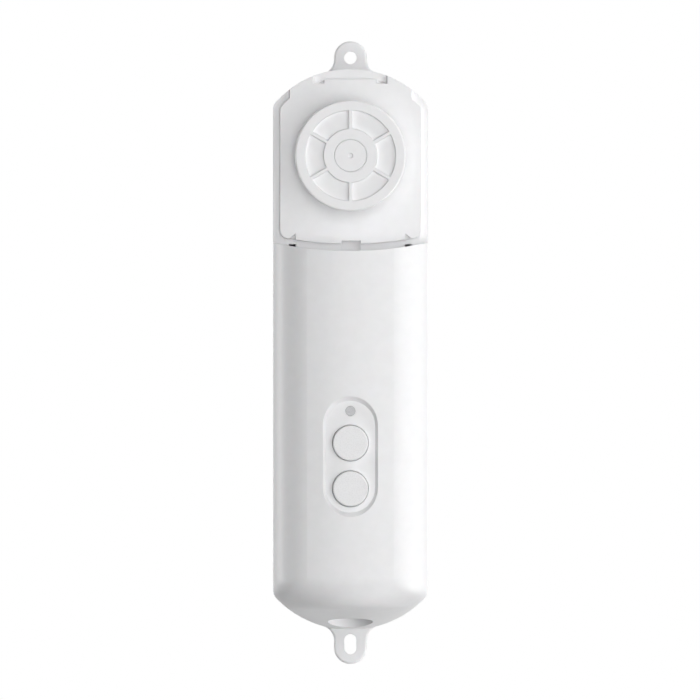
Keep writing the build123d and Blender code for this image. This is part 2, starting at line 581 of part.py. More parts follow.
def back_plate():
    """The flat back with both screw lugs, a locating rib, the rear bearing boss and six sunk screw holes."""
    face = outline(0.0)
    top_root = HALF_HEIGHT - LUG_RADIUS
    face += lug(TOP_LUG_Z, top_root) + lug(BOTTOM_LUG_Z, -top_root)
    roots = [v for v in face.vertices() if abs(abs(v.X) - LUG_RADIUS) < 0.01 and abs(v.Y) < abs(TOP_LUG_Z) - 1]
    face = fillet(roots, LUG_FLARE)
    plate = extrude(facing(0) * face, amount=PLATE_THICKNESS)
    plate = fillet(plate.faces().sort_by(Axis.Y)[-1].edges(), PLATE_EDGE_ROUND)
    lug_edges = [
        e for e in plate.faces().sort_by(Axis.Y)[0].edges() if abs(e.center().Z) > HALF_HEIGHT + LUG_FLARE / 4
    ]
    plate = fillet(lug_edges, PLATE_EDGE_ROUND)
    rib_inset = WALL + PLATE_RIB_GAP
    rib_face = outline(rib_inset) - outline(rib_inset + PLATE_RIB_THICKNESS)
    rib = extrude(facing(PLATE_THICKNESS) * rib_face, amount=PLATE_RIB_HEIGHT)
    cup_room = PORT_RADIUS + PORT_WALL + PLATE_RIB_GAP
    rib_depths = (PLATE_THICKNESS - 1, PLATE_THICKNESS + PLATE_RIB_HEIGHT + 1)
    plate += rib - block((-cup_room, cup_room), rib_depths, (-HALF_HEIGHT, PORT_FLOOR_Z + PORT_WALL))
    boss_front = PLATE_THICKNESS + REAR_BUSH_LENGTH
    plate += disc(PLATE_THICKNESS - 1, boss_front, REAR_BOSS_RADIUS, 0, WHEEL_Z)
    plate -= disc(PLATE_THICKNESS, boss_front + 1, REAR_BUSH_RADIUS + FIT_GAP, 0, WHEEL_Z)
    for x, z in HOUSING_SCREW_PLACES:
        plate -= disc(PLATE_THICKNESS, boss_front, BOSS_RADIUS + 2 * PLATE_RIB_GAP, x, z)
        plate -= disc(-1, PLATE_THICKNESS + 1, SCREW_RADIUS + 2 * SCREW_GAP, x, z)
        plate -= disc(-1, SCREW_HEAD_HEIGHT + SCREW_GAP, SCREW_HEAD_RADIUS + 2 * SCREW_GAP, x, z)
    plate -= disc(-1, PLATE_THICKNESS + 1, TOP_HOLE_RADIUS, 0, TOP_LUG_Z)
    slot = extrude(facing(-1, 0, SLOT_Z) * obround(SLOT_WIDTH, SLOT_LENGTH), amount=PLATE_THICKNESS + 2)
    return plate - slot


def screw(radius, length, head_radius, head_height):
    """A pan-head screw along local z: its head below the origin plane and its shank above it."""
    head = extrude(Circle(head_radius), amount=-head_height)
    head = fillet(head.faces().sort_by(Axis.Z)[0].edges(), head_height / 3)
    return head + extrude(Circle(radius), amount=length)


def small_screw(length):
    """The self-tapping screw that holds the shells, the board and the bracket."""
    return screw(SCREW_RADIUS, length, SCREW_HEAD_RADIUS, SCREW_HEAD_HEIGHT)


def housing_screws():
    """Six screws that go in from the back."""
    depth = SCREW_HEAD_HEIGHT + SCREW_GAP
    length = HOUSING_SCREW_LENGTH
    return Compound(children=[facing(depth, x, z) * small_screw(length) for x, z in HOUSING_SCREW_PLACES])


def board_screws():
    """Four screws that hold the main board on the bosses behind the front."""
    length = BOARD_SCREW_LENGTH
    return Compound(children=[facing(BOARD_BACK_DEPTH, x, z) * small_screw(length) for x, z in BOARD_SCREW_PLACES])


def bracket_tab_depth():
    """Depth of the face on which the motor bracket's tabs are screwed."""
    return CEILING_DEPTH - BRACKET_THICKNESS


def bracket_screws():
    """Two screws through the bracket's tabs into the housing."""
    depth = bracket_tab_depth() - BRACKET_THICKNESS
    places = [(side * BRACKET_SCREW_X, BRACKET_SCREW_Z) for side in (-1, 1)]
    return Compound(children=[facing(depth, x, z) * small_screw(BOARD_SCREW_LENGTH) for x, z in places])


def gearhead_screws():
    """Two screws through the bracket into the gearhead's top plate."""
    seat = BRACKET_Z + BRACKET_THICKNESS
    places = [side * BRACKET_SCREW_SPACING / 2 for side in (-1, 1)]
    return Compound(children=[level(seat, x, MOTOR_DEPTH) * small_screw(BOARD_SCREW_LENGTH) for x in places])


def motor_bracket():
    """The folded steel plate that carries the gear motor: a shelf with two upright tabs."""
    tab_front = bracket_tab_depth()
    shelf_back = MOTOR_DEPTH - GEARHEAD_RADIUS + BRACKET_THICKNESS
    half = BRACKET_HALF_WIDTH
    top = BRACKET_Z + BRACKET_THICKNESS
    shelf = block((-half, half), (shelf_back, tab_front), (BRACKET_Z, top))
    shelf = fillet(shelf.edges().filter_by(Axis.Z).sort_by(Axis.Y)[-2:], BRACKET_TAB_WIDTH / 2)
    for side in (-1, 1):
        inner = half - BRACKET_TAB_WIDTH
        across = (inner, half) if side > 0 else (-half, -inner)
        tab = block(across, (tab_front - BRACKET_THICKNESS, tab_front), (BRACKET_Z, top + BRACKET_TAB_HEIGHT))
        shelf += fillet(tab.edges().filter_by(Axis.Y).group_by(Axis.Z)[-1], BRACKET_TAB_WIDTH / 4)
        shelf -= disc(0, SEAT_DEPTH, SCREW_RADIUS + 2 * SCREW_GAP, side * BRACKET_SCREW_X, BRACKET_SCREW_Z)
        screw_x = side * BRACKET_SCREW_SPACING / 2
        shelf -= post(BRACKET_Z - 1, top + 1, SCREW_RADIUS + 2 * SCREW_GAP, screw_x, MOTOR_DEPTH)
    return shelf - post(BRACKET_Z - 1, top + 1, NOSE_RADIUS + FIT_GAP, 0, MOTOR_DEPTH)


def gearhead_case():
    """The closed planetary gearhead: a ribbed ring-gear barrel between two flanges."""
    low = MOTOR_TOP_Z
    high = GEARHEAD_TOP_Z - GEARHEAD_PLATE
    case = post(low, high, GEARHEAD_RADIUS, 0, MOTOR_DEPTH)
    ring = post(low + GEARHEAD_PLATE, high - GEARHEAD_PLATE, GEARHEAD_RADIUS + 1, 0, MOTOR_DEPTH)
    case -= ring - post(low, high, GEARHEAD_RADIUS - SCREW_GAP * 8, 0, MOTOR_DEPTH)
    case -= post(high - 2 * GEARHEAD_PLATE, high + 1, PINION_SHAFT_RADIUS + RUNNING_GAP, 0, MOTOR_DEPTH)
    return case - gearhead_screw_holes()


def gearhead_screw_holes():
    """Clear holes for the two screws that hold the gearhead to its bracket."""
    low = BRACKET_Z + BRACKET_THICKNESS - BOARD_SCREW_LENGTH - SCREW_GAP
    half = BRACKET_SCREW_SPACING / 2
    left = post(low, BRACKET_Z + 1, SCREW_RADIUS + SCREW_GAP, -half, MOTOR_DEPTH)
    return left + post(low, BRACKET_Z + 1, SCREW_RADIUS + SCREW_GAP, half, MOTOR_DEPTH)


def gearhead_plate():
    """The gearhead's top plate with the nose that centres it in the bracket."""
    low = GEARHEAD_TOP_Z - GEARHEAD_PLATE
    plate = post(low, GEARHEAD_TOP_Z, GEARHEAD_RADIUS, 0, MOTOR_DEPTH)
    plate += post(low, GEARHEAD_TOP_Z + BRACKET_THICKNESS, NOSE_RADIUS, 0, MOTOR_DEPTH)
    plate -= post(low - 1, GEARHEAD_TOP_Z + GEARHEAD_PLATE + 1, PINION_SHAFT_RADIUS + RUNNING_GAP, 0, MOTOR_DEPTH)
    return plate - gearhead_screw_holes()


def motor_can():
    """The drawn steel can of the motor."""
    can = post(MOTOR_BOTTOM_Z, MOTOR_TOP_Z, MOTOR_RADIUS, 0, MOTOR_DEPTH)
    return fillet(can.edges().sort_by(Axis.Z)[0], MOTOR_EDGE_ROUND)


def motor_end_cap():
    """The moulded cap with the brush gear at the motor's lower end."""
    cap = post(MOTOR_BOTTOM_Z - END_CAP_LENGTH, MOTOR_BOTTOM_Z, END_CAP_RADIUS, 0, MOTOR_DEPTH)
    return chamfer(cap.edges().sort_by(Axis.Z)[0], END_CAP_LENGTH / 4)


def motor_terminals():
    """Two solder tags beside the motor's end cap."""
    x = END_CAP_RADIUS + STRIP_THICKNESS / 2 + SCREW_GAP
    low = MOTOR_BOTTOM_Z - END_CAP_LENGTH
    tags = []
    for side in (-1, 1):
        across = (side * x - STRIP_THICKNESS / 2, side * x + STRIP_THICKNESS / 2)
        depths = (MOTOR_DEPTH - END_CAP_LENGTH / 2, MOTOR_DEPTH + END_CAP_LENGTH / 2)
        tags.append(block(across, depths, (low, MOTOR_BOTTOM_Z)))
    return Compound(children=tags)


def bevel_profile(teeth, cone, height, first_angle):
    """The toothed outline on the plane at a distance from the cone's apex, as a face."""
    pitch = GEAR_MODULE * teeth / 2
    distance = pitch / math.sin(cone)
    flat_radius = pitch / math.cos(cone)
    pressure = math.radians(PRESSURE_ANGLE)
    base = flat_radius * math.cos(pressure)
    flat_half = math.pi * math.cos(cone) / (2 * teeth)

    def involute(angle):
        return math.tan(angle) - angle

    rises = (-GEAR_MODULE - ROOT_CLEARANCE, -0.45 * GEAR_MODULE, 0.25 * GEAR_MODULE, GEAR_MODULE)
    flank = []
    for rise in rises:
        reach = flat_radius + rise
        here = math.acos(min(base / reach, 1.0))
        half = flat_half + involute(pressure) - involute(here) - BACKLASH / 4 / flat_radius
        radius = height * math.tan(cone + math.atan(rise / distance))
        flank.append((radius, half / math.cos(cone)))
    points = []
    for k in range(teeth):
        centre = first_angle + 2 * math.pi * k / teeth
        points += [(r * math.cos(centre - half), r * math.sin(centre - half)) for r, half in flank]
        points += [(r * math.cos(centre + half), r * math.sin(centre + half)) for r, half in reversed(flank)]
    return make_face(Polyline(*points, close=True))


def bevel_gear_body(teeth, mate_teeth, first_angle, back_points):
    """A straight bevel gear along local z from its apex: the toothed cone trimmed by its turned blank."""
    cone = math.atan(teeth / mate_teeth)
    pitch = GEAR_MODULE * teeth / 2
    distance = pitch / math.sin(cone)
    plane = distance * math.cos(cone)
    small = 1 - GEAR_FACE / distance
    out = (math.cos(cone), -math.sin(cone))
    tip = (pitch + GEAR_MODULE * out[0], plane + GEAR_MODULE * out[1])
    deep = GEAR_MODULE + ROOT_CLEARANCE
    root = (pitch - deep * out[0], plane - deep * out[1])
    rim = [(0, root[1] * small), (root[0] * small, root[1] * small), (tip[0] * small, tip[1] * small), tip, root]
    turned = [(r, 0, z) for r, z in rim + back_points]
    blank = revolve(make_face(Polyline(*turned, close=True)), Axis.Z)
    low = 0.9 * tip[1] * small
    high = 1.05 * max(z for _, z in back_points)
    ends = [Pos(0, 0, z) * bevel_profile(teeth, cone, z, first_angle) for z in (low, high)]
    return loft(ends, ruled=True) & blank


def apex():
    """Where the motor's axis meets the wheel's axis."""
    return (0, -MOTOR_DEPTH, WHEEL_Z)


def d_profile(radius, flat):
    """A round with one flat, which keys a part to the shaft."""
    return Circle(radius) & Pos(0, -flat) * Rectangle(2 * radius + 1, 2 * radius)


def bevel_gear():
    """The large bevel gear on the output shaft."""
    front = GEAR_FRONT_DEPTH - MOTOR_DEPTH
    back_points = [(GEAR_RADIUS - GEAR_MODULE, front), (0, front)]
    first = math.radians(-90) + math.pi / GEAR_TEETH
    body = bevel_gear_body(GEAR_TEETH, PINION_TEETH, first, back_points)
    body -= extrude(d_profile(SHAFT_RADIUS + FIT_GAP, SHAFT_FLAT), amount=2 * front)
    lighten = Circle(GEAR_RADIUS - 3 * GEAR_MODULE) - Circle(GEAR_HUB_RADIUS - GEAR_MODULE)
    body -= Pos(0, 0, front - GEAR_MODULE / 2) * extrude(lighten, amount=GEAR_MODULE)
    return Plane(origin=apex(), x_dir=(1, 0, 0), z_dir=(0, -1, 0)) * body


def bevel_pinion():
    """The small bevel pinion on the gear motor's shaft."""
    base = GEAR_RADIUS
    back_points = [
        (PINION_HUB_RADIUS, base + GEAR_MODULE / 2),
        (PINION_HUB_RADIUS, base + PINION_HUB_LENGTH + GEAR_MODULE / 2),
        (0, base + PINION_HUB_LENGTH + GEAR_MODULE / 2),
    ]
    body = bevel_gear_body(PINION_TEETH, GEAR_TEETH, math.radians(90), back_points)
    body -= extrude(Circle(PINION_SHAFT_RADIUS + FIT_GAP), amount=2 * base)
    return Plane(origin=apex(), x_dir=(1, 0, 0), z_dir=(0, 0, -1)) * body


def pinion_shaft():
    """The gear motor's output shaft."""
    low = GEARHEAD_TOP_Z - 2.5 * GEARHEAD_PLATE
    return post(low, PINION_BASE_Z + GEAR_FACE, PINION_SHAFT_RADIUS, 0, MOTOR_DEPTH)


def shaft_front():
    """Depth of the output shaft's front end, inside the wheel's hub."""
    return WHEEL_FRONT - CAP_THICKNESS - WHEEL_SCREW_HEAD_HEIGHT - 2 * FIT_GAP - PLATE_THICKNESS / 3


def output_shaft():
    """The steel shaft on the wheel's axis, with flats for the gear and the wheel and a clip groove."""
    back = PLATE_THICKNESS + SHAFT_END_GAP
    front = shaft_front()
    shaft = disc(back, front, SHAFT_RADIUS, 0, WHEEL_Z)
    shaft = chamfer(shaft.edges().filter_by(GeomType.CIRCLE), SHAFT_FLAT / 2)
    key_cut = Circle(2 * SHAFT_RADIUS) - d_profile(SHAFT_RADIUS, SHAFT_FLAT)
    wheel_seat = WHEEL_BACK - SIDE_GAP
    shaft -= extrude(facing(wheel_seat, 0, WHEEL_Z) * key_cut, amount=front - wheel_seat)
    shaft -= extrude(facing(clip_front(), 0, WHEEL_Z) * key_cut, amount=GEAR_FRONT_DEPTH - clip_front())
    ring = Circle(2 * SHAFT_RADIUS) - Circle(SHAFT_RADIUS - SHAFT_FLAT)
    shaft -= extrude(facing(clip_front() - BUSH_FLANGE_THICKNESS, 0, WHEEL_Z) * ring, amount=BUSH_FLANGE_THICKNESS)
    tapped = disc(front - WHEEL_SCREW_LENGTH, front + 1, WHEEL_SCREW_RADIUS + SCREW_GAP, 0, WHEEL_Z)
    return shaft - tapped


def clip_front():
    """Depth of the gear's inner face, on which the shaft clip bears."""
    cone = math.atan(GEAR_TEETH / PINION_TEETH)
    distance = GEAR_RADIUS / math.sin(cone)
    root = PINION_RADIUS + (GEAR_MODULE + ROOT_CLEARANCE) * math.sin(cone)
    return MOTOR_DEPTH + root * (1 - GEAR_FACE / distance)


def shaft_clip():
    """The snap ring that keeps the gear on its shaft."""
    thickness = BUSH_FLANGE_THICKNESS - 2 * SCREW_GAP
    inner = SHAFT_RADIUS - SHAFT_FLAT + FIT_GAP
    ring = Circle(inner + 2 * SHAFT_FLAT + 1.0) - Circle(inner)
    ring -= Pos(0, SHAFT_RADIUS) * Rectangle(SHAFT_RADIUS, 2 * SHAFT_RADIUS)
    return extrude(facing(clip_front() - thickness - SCREW_GAP, 0, WHEEL_Z) * ring, amount=thickness)


def front_bush():
    """The flanged bearing bush in the deck's boss."""
    back = SEAT_DEPTH - DECK_BOSS_LENGTH
    bush = disc(back, DECK_DEPTH, FRONT_BUSH_RADIUS, 0, WHEEL_Z)
    bush += disc(back - BUSH_FLANGE_THICKNESS, back, FRONT_BUSH_FLANGE_RADIUS, 0, WHEEL_Z)
    return bush - disc(0, BODY_DEPTH, SHAFT_RADIUS + RUNNING_GAP, 0, WHEEL_Z)


def rear_bush():
    """The plain bearing bush in the back plate's boss."""
    bush = disc(PLATE_THICKNESS, PLATE_THICKNESS + REAR_BUSH_LENGTH, REAR_BUSH_RADIUS, 0, WHEEL_Z)
    return bush - disc(0, BODY_DEPTH, SHAFT_RADIUS + RUNNING_GAP, 0, WHEEL_Z)


def drive_wheel():
    """The bead-chain wheel: a barrel with a round pocket for each bead between two flanges, and a ribbed front."""
    middle = GROOVE_BACK + GROOVE_WIDTH / 2
    rear = disc(WHEEL_BACK, GROOVE_BACK, REAR_FLANGE_RADIUS, 0, WHEEL_Z)
    barrel = disc(GROOVE_BACK, GROOVE_BACK + GROOVE_WIDTH, BARREL_RADIUS, 0, WHEEL_Z)
    slot_face = Circle(BARREL_RADIUS + 1) - Circle(BARREL_RADIUS - LINK_SLOT_DEPTH)
    barrel -= extrude(facing(middle - LINK_SLOT_WIDTH / 2, 0, WHEEL_Z) * slot_face, amount=LINK_SLOT_WIDTH)
    bead = Sphere(BEAD_DIAMETER / 2 + BEAD_CLEARANCE)
    for k in range(BEAD_COUNT):
        angle = math.pi / 2 + 2 * math.pi * k / BEAD_COUNT
        x = BEAD_CIRCLE * math.cos(angle)
        z = WHEEL_Z + BEAD_CIRCLE * math.sin(angle)
        barrel -= facing(middle, x, z) * bead
    flange = disc(GROOVE_BACK + GROOVE_WIDTH, WHEEL_FRONT, WHEEL_RADIUS, 0, WHEEL_Z)
    flange = fillet(flange.edges().sort_by(Axis.Y)[0], WHEEL_EDGE_ROUND)
    ring = Circle(RING_RADIUS) - Circle(HUB_RADIUS)
    for k in range(POCKET_COUNT):
        reach = (RING_RADIUS + HUB_RADIUS) / 2
        length = RING_RADIUS - HUB_RADIUS + 2
        ring -= Rot(0, 0, 90 + 360 * k / POCKET_COUNT) * Pos(reach, 0) * Rectangle(length, RIB_WIDTH)
    floor = facing(WHEEL_FRONT - POCKET_DEPTH, 0, WHEEL_Z)
    flange -= extrude(floor * ring, amount=POCKET_DEPTH)
    wheel = rear + barrel + flange + disc(WHEEL_BACK - SIDE_GAP, WHEEL_BACK, FRONT_BUSH_RADIUS - 0.5, 0, WHEEL_Z)
    bore = extrude(facing(WHEEL_BACK - 1, 0, WHEEL_Z) * d_profile(SHAFT_RADIUS + FIT_GAP, SHAFT_FLAT - FIT_GAP),
                   amount=shaft_front() + FIT_GAP - WHEEL_BACK + 1)
    wheel -= bore
    wheel -= disc(WHEEL_BACK, WHEEL_FRONT, WHEEL_SCREW_RADIUS + 2 * SCREW_GAP, 0, WHEEL_Z)
    seat = WHEEL_FRONT - CAP_THICKNESS
    wheel -= disc(seat, WHEEL_FRONT + 1, CAP_RADIUS + CAP_GAP, 0, WHEEL_Z)
    head_room = WHEEL_SCREW_HEAD_HEIGHT + FIT_GAP
    return wheel - disc(seat - head_room, seat + 1, WHEEL_SCREW_HEAD_RADIUS + 2 * SCREW_GAP, 0, WHEEL_Z)


def wheel_cap():
    """The round cap over the wheel's screw, with a small moulding dimple in its middle."""
    cap = disc(WHEEL_FRONT - CAP_THICKNESS, WHEEL_FRONT, CAP_RADIUS, 0, WHEEL_Z)
    cap = chamfer(cap.edges().sort_by(Axis.Y)[0], CAP_GAP)
    return cap - disc(WHEEL_FRONT - CAP_DIMPLE_DEPTH, WHEEL_FRONT + 1, CAP_DIMPLE_RADIUS, 0, WHEEL_Z)


def wheel_screw():
    """The screw that clamps the wheel to its shaft, under the cap."""
    seat = WHEEL_FRONT - CAP_THICKNESS - WHEEL_SCREW_HEAD_HEIGHT - FIT_GAP
    plane = Plane(origin=(0, -seat, WHEEL_Z), x_dir=(1, 0, 0), z_dir=(0, 1, 0))
    length = WHEEL_SCREW_LENGTH - 2 * SCREW_GAP
    return plane * screw(WHEEL_SCREW_RADIUS, length, WHEEL_SCREW_HEAD_RADIUS, WHEEL_SCREW_HEAD_HEIGHT)


def battery_cell(side):
    """One round cell with its rounded ends."""
    cell = post(CELL_BOTTOM_Z, CELL_TOP_Z, CELL_RADIUS, side * CELL_X, CELL_DEPTH)
    return fillet(cell.edges().filter_by(GeomType.CIRCLE), CELL_RADIUS / 12)


def cradle_front():
    """Depth of the cradle's front face."""
    return CELL_DEPTH + CELL_RADIUS + CELL_GAP + CRADLE_WALL


def cradle_half_width():
    return CELL_X + CELL_RADIUS + CELL_GAP + CRADLE_WALL


def cradle_post_heights():
    """Heights of the posts behind the front that the cradle is glued to."""
    inset = CELL_RADIUS
    return (CELL_TOP_Z - inset, CELL_BOTTOM_Z + inset)


def cradle_post_x():
    return BOARD_HALF_WIDTH + CRADLE_POST_RADIUS + CELL_GAP


def battery_cradle():
    """The moulded tray with two round troughs that holds the cells from the front."""
    half = cradle_half_width()
    end = STRIP_THICKNESS + CRADLE_END
    front = cradle_front()
    tray = block((-half, half), (CELL_DEPTH, front), (CELL_BOTTOM_Z - end, CELL_TOP_Z + end))
    ends = block((-half, half), (PLATE_THICKNESS + CELL_GAP + PLATE_RIB_HEIGHT, CELL_DEPTH),
                 (CELL_BOTTOM_Z - end, CELL_TOP_Z + end))
    ends -= block((-half - 1, half + 1), (0, CELL_DEPTH + 1),
                  (CELL_BOTTOM_Z - STRIP_THICKNESS, CELL_TOP_Z + STRIP_THICKNESS))
    tray += ends
    tray = chamfer(tray.edges().filter_by(Axis.Z).sort_by(Axis.Y)[0:2], CRADLE_WALL)
    low = CELL_BOTTOM_Z - STRIP_THICKNESS
    high = CELL_TOP_Z + STRIP_THICKNESS
    for side in (-1, 1):
        tray -= post(low, high, CELL_RADIUS + CELL_GAP / 2, side * CELL_X, CELL_DEPTH)
    strip_half = STRIP_WIDTH / 2 + SCREW_GAP
    strip_front = CELL_DEPTH + strip_half
    return tray - block((-CELL_X, CELL_X), (CELL_DEPTH - 1, strip_front), (CELL_TOP_Z - SCREW_GAP, high))


def nickel_strips():
    """The strips welded to the cells' ends: one joins both cells at the top, two lead off at the bottom."""
    half = STRIP_WIDTH / 2
    depths = (CELL_DEPTH - half, CELL_DEPTH + half)
    strips = [block((-CELL_X - half, CELL_X + half), depths, (CELL_TOP_Z, CELL_TOP_Z + STRIP_THICKNESS))]
    for side in (-1, 1):
        across = (side * CELL_X - half, side * CELL_X + half)
        strips.append(block(across, depths, (CELL_BOTTOM_Z - STRIP_THICKNESS, CELL_BOTTOM_Z)))
    return Compound(children=strips)


def main_board():
    """The main circuit board with its four screw holes."""
    half = BOARD_HALF_WIDTH
    board = block((-half, half), (BOARD_BACK_DEPTH, BOARD_FRONT_DEPTH), (BOARD_BOTTOM_Z, BOARD_TOP_Z))
    board = fillet(board.edges().filter_by(Axis.Y), 2 * BOARD_THICKNESS)
    for x, z in BOARD_SCREW_PLACES:
        board -= disc(0, BODY_DEPTH, SCREW_RADIUS + 2 * SCREW_GAP, x, z)
    return board


def switch_body(z):
    """A push switch on the board: a square base with a round well for its plunger."""
    half = SWITCH_SIZE / 2
    base = block((-half, half), (BOARD_FRONT_DEPTH, SWITCH_FRONT), (z - half, z + half))
    base = fillet(base.edges().filter_by(Axis.Y), SWITCH_SIZE / 10)
    well = SWITCH_FRONT - 2 * BUTTON_TRAVEL - RUNNING_GAP
    return base - disc(well, SWITCH_FRONT + 1, PLUNGER_RADIUS + 2 * RUNNING_GAP, 0, z)


def switch_plunger(z):
    """The switch's plunger, which the button's stem presses."""
    return disc(SWITCH_FRONT - BUTTON_TRAVEL, SWITCH_FRONT + PLUNGER_PROUD, PLUNGER_RADIUS, 0, z)


def button(z):
    """A round button cap with a rounded edge, a stop flange behind the panel and a stem to its switch."""
    flange_back = BUTTON_BACK_DEPTH
    flange_front = flange_back + BUTTON_FLANGE_THICKNESS
    cap = disc(flange_back, PANEL_FLOOR_DEPTH + BUTTON_PROUD, BUTTON_RADIUS, 0, z)
    cap = fillet(cap.edges().sort_by(Axis.Y)[0], BUTTON_ROUND)
    cap += disc(flange_back, flange_front, BUTTON_FLANGE_RADIUS, 0, z)
    return cap + disc(SWITCH_FRONT + PLUNGER_PROUD, flange_back, BUTTON_STEM_RADIUS, 0, z)


def light_pipe():
    """The clear rod that brings the indicator's light to the panel."""
    back = BOARD_FRONT_DEPTH + LED_HEIGHT + CELL_GAP
    pipe = disc(back, PANEL_FLOOR_DEPTH, LIGHT_RADIUS, 0, LIGHT_Z)
    return pipe + disc(PAD_BACK_DEPTH - LIGHT_FLANGE_THICKNESS, PAD_BACK_DEPTH, LIGHT_FLANGE_RADIUS, 0, LIGHT_Z)


def indicator_led():
    """The light-emitting diode under the light pipe."""
    half = LED_SIZE / 2
    led = block((-half, half), (BOARD_FRONT_DEPTH, BOARD_FRONT_DEPTH + LED_HEIGHT), (LIGHT_Z - half, LIGHT_Z + half))
    return chamfer(led.edges().filter_by(Axis.Y), LED_SIZE / 8)


def radio_module():
    """The radio's own small board with its shield can, in the board's upper middle."""
    top = MODULE_TOP_Z
    half = MODULE_WIDTH / 2
    front = BOARD_FRONT_DEPTH + MODULE_BOARD
    board = block((-half, half), (BOARD_FRONT_DEPTH, front), (top - MODULE_LENGTH, top))
    inset = BOARD_THICKNESS
    low = top - MODULE_LENGTH + inset
    can = block((-half + inset, half - inset), (front, front + SHIELD_HEIGHT), (low, low + 0.6 * MODULE_LENGTH))
    return board + fillet(can.edges().filter_by(Axis.Y), MODULE_BOARD)


def board_parts():
    """The larger parts on the back of the board: motor driver, charge controller, capacitor and plugs."""
    back = BOARD_BACK_DEPTH
    side = BOARD_HALF_WIDTH / 2
    low = BOARD_SCREW_LOW_Z
    places = [
        (-side, BUTTON_UP_Z + 4 * CHIP_SIZE, CHIP_SIZE, CHIP_SIZE, CHIP_HEIGHT),
        (side, BUTTON_UP_Z, CHIP_SIZE, CHIP_SIZE, CHIP_HEIGHT),
        (-side, low + 2 * PLUG_WIDTH, PLUG_HEIGHT, PLUG_HEIGHT, 2 * CHIP_HEIGHT),
        (side, BOARD_SCREW_TOP_Z - PLUG_WIDTH, PLUG_WIDTH, PLUG_HEIGHT, TALL_PART_HEIGHT),
        (0, low + PLUG_HEIGHT, PLUG_WIDTH, PLUG_HEIGHT, TALL_PART_HEIGHT),
    ]
    parts = []
    for x, z, wide, tall, high in places:
        chip = block((x - wide / 2, x + wide / 2), (back - high, back), (z - tall / 2, z + tall / 2))
        parts.append(chamfer(chip.edges().filter_by(Axis.Y), CHIP_HEIGHT / 3))
    return Compound(children=parts)


def charging_socket():
    """The metal shell of the charging socket, an open flat tube with a closed inner end."""
    top = PORT_FLOOR_Z + SOCKET_LENGTH
    plane = level(top, 0, PORT_DEPTH)
    outer = Rot(0, 0, 90) * obround(SOCKET_HEIGHT, SOCKET_WIDTH)
    inner = Rot(0, 0, 90) * obround(SOCKET_HEIGHT - 2 * SOCKET_WALL, SOCKET_WIDTH - 2 * SOCKET_WALL)
    shell = extrude(plane * outer, amount=SOCKET_LENGTH)
    return shell - extrude(level(top - SOCKET_WALL, 0, PORT_DEPTH) * inner, amount=SOCKET_LENGTH)


def socket_tongue():
    """The contact tongue inside the socket, on its moulded base."""
    top = PORT_FLOOR_Z + SOCKET_LENGTH - SOCKET_WALL
    base_shape = Rot(0, 0, 90) * obround(SOCKET_HEIGHT - 2 * SOCKET_WALL - 2 * FIT_GAP,
                                         SOCKET_WIDTH - 2 * SOCKET_WALL - 2 * FIT_GAP)
    base = extrude(level(top, 0, PORT_DEPTH) * base_shape, amount=SOCKET_LENGTH - SOCKET_WALL - TONGUE_LENGTH)
    tongue = extrude(level(top, 0, PORT_DEPTH) * Rectangle(TONGUE_WIDTH, TONGUE_THICKNESS),
                     amount=SOCKET_LENGTH - 2 * SOCKET_WALL - SOCKET_GAP)
    return base + tongue


def charge_board():
    """The small board that carries the charging socket."""
    back = PORT_DEPTH + SOCKET_HEIGHT / 2
    half = CHARGE_BOARD_WIDTH / 2
    low = PORT_FLOOR_Z + PORT_WALL + SCREW_GAP
    high = CELL_BOTTOM_Z - STRIP_THICKNESS - CRADLE_END - 2 * SOCKET_GAP
    return block((-half, half), (back, back + CHARGE_BOARD_THICKNESS), (low, high))


def build():
    """Every piece by the name of its file."""
    return {
        "front_housing": front_housing(),
        "back_plate": back_plate(),
        "housing_screws": housing_screws(),
        "drive_wheel": drive_wheel(),
        "wheel_cap": wheel_cap(),
        "wheel_screw": wheel_screw(),
        "output_shaft": output_shaft(),
        "shaft_clip": shaft_clip(),
        "front_bush": front_bush(),
        "rear_bush": rear_bush(),
        "bevel_gear": bevel_gear(),
        "bevel_pinion": bevel_pinion(),
        "pinion_shaft": pinion_shaft(),
        "gearhead_plate": gearhead_plate(),
        "gearhead_case": gearhead_case(),
        "motor_can": motor_can(),
        "motor_end_cap": motor_end_cap(),
        "motor_terminals": motor_terminals(),
        "motor_bracket": motor_bracket(),
        "bracket_screws": bracket_screws(),
        "gearhead_screws": gearhead_screws(),
        "battery_cell_left": battery_cell(-1),
        "battery_cell_right": battery_cell(1),
        "battery_cradle": battery_cradle(),
        "nickel_strips": nickel_strips(),
        "main_board": main_board(),
        "board_parts": board_parts(),
        "board_screws": board_screws(),
        "radio_module": radio_module(),
        "indicator_led": indicator_led(),
        "light_pipe": light_pipe(),
        "button_up": button(BUTTON_UP_Z),
        "button_down": button(BUTTON_DOWN_Z),
        "switch_body_up": switch_body(BUTTON_UP_Z),
        "switch_body_down": switch_body(BUTTON_DOWN_Z),
        "switch_plunger_up": switch_plunger(BUTTON_UP_Z),
        "switch_plunger_down": switch_plunger(BUTTON_DOWN_Z),
        "charging_socket": charging_socket(),
        "socket_tongue": socket_tongue(),
        "charge_board": charge_board(),
    }


os.makedirs("parts", exist_ok=True)
for name, shape in build().items():
    export_step(shape, f"parts/{name}.step")
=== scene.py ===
import math

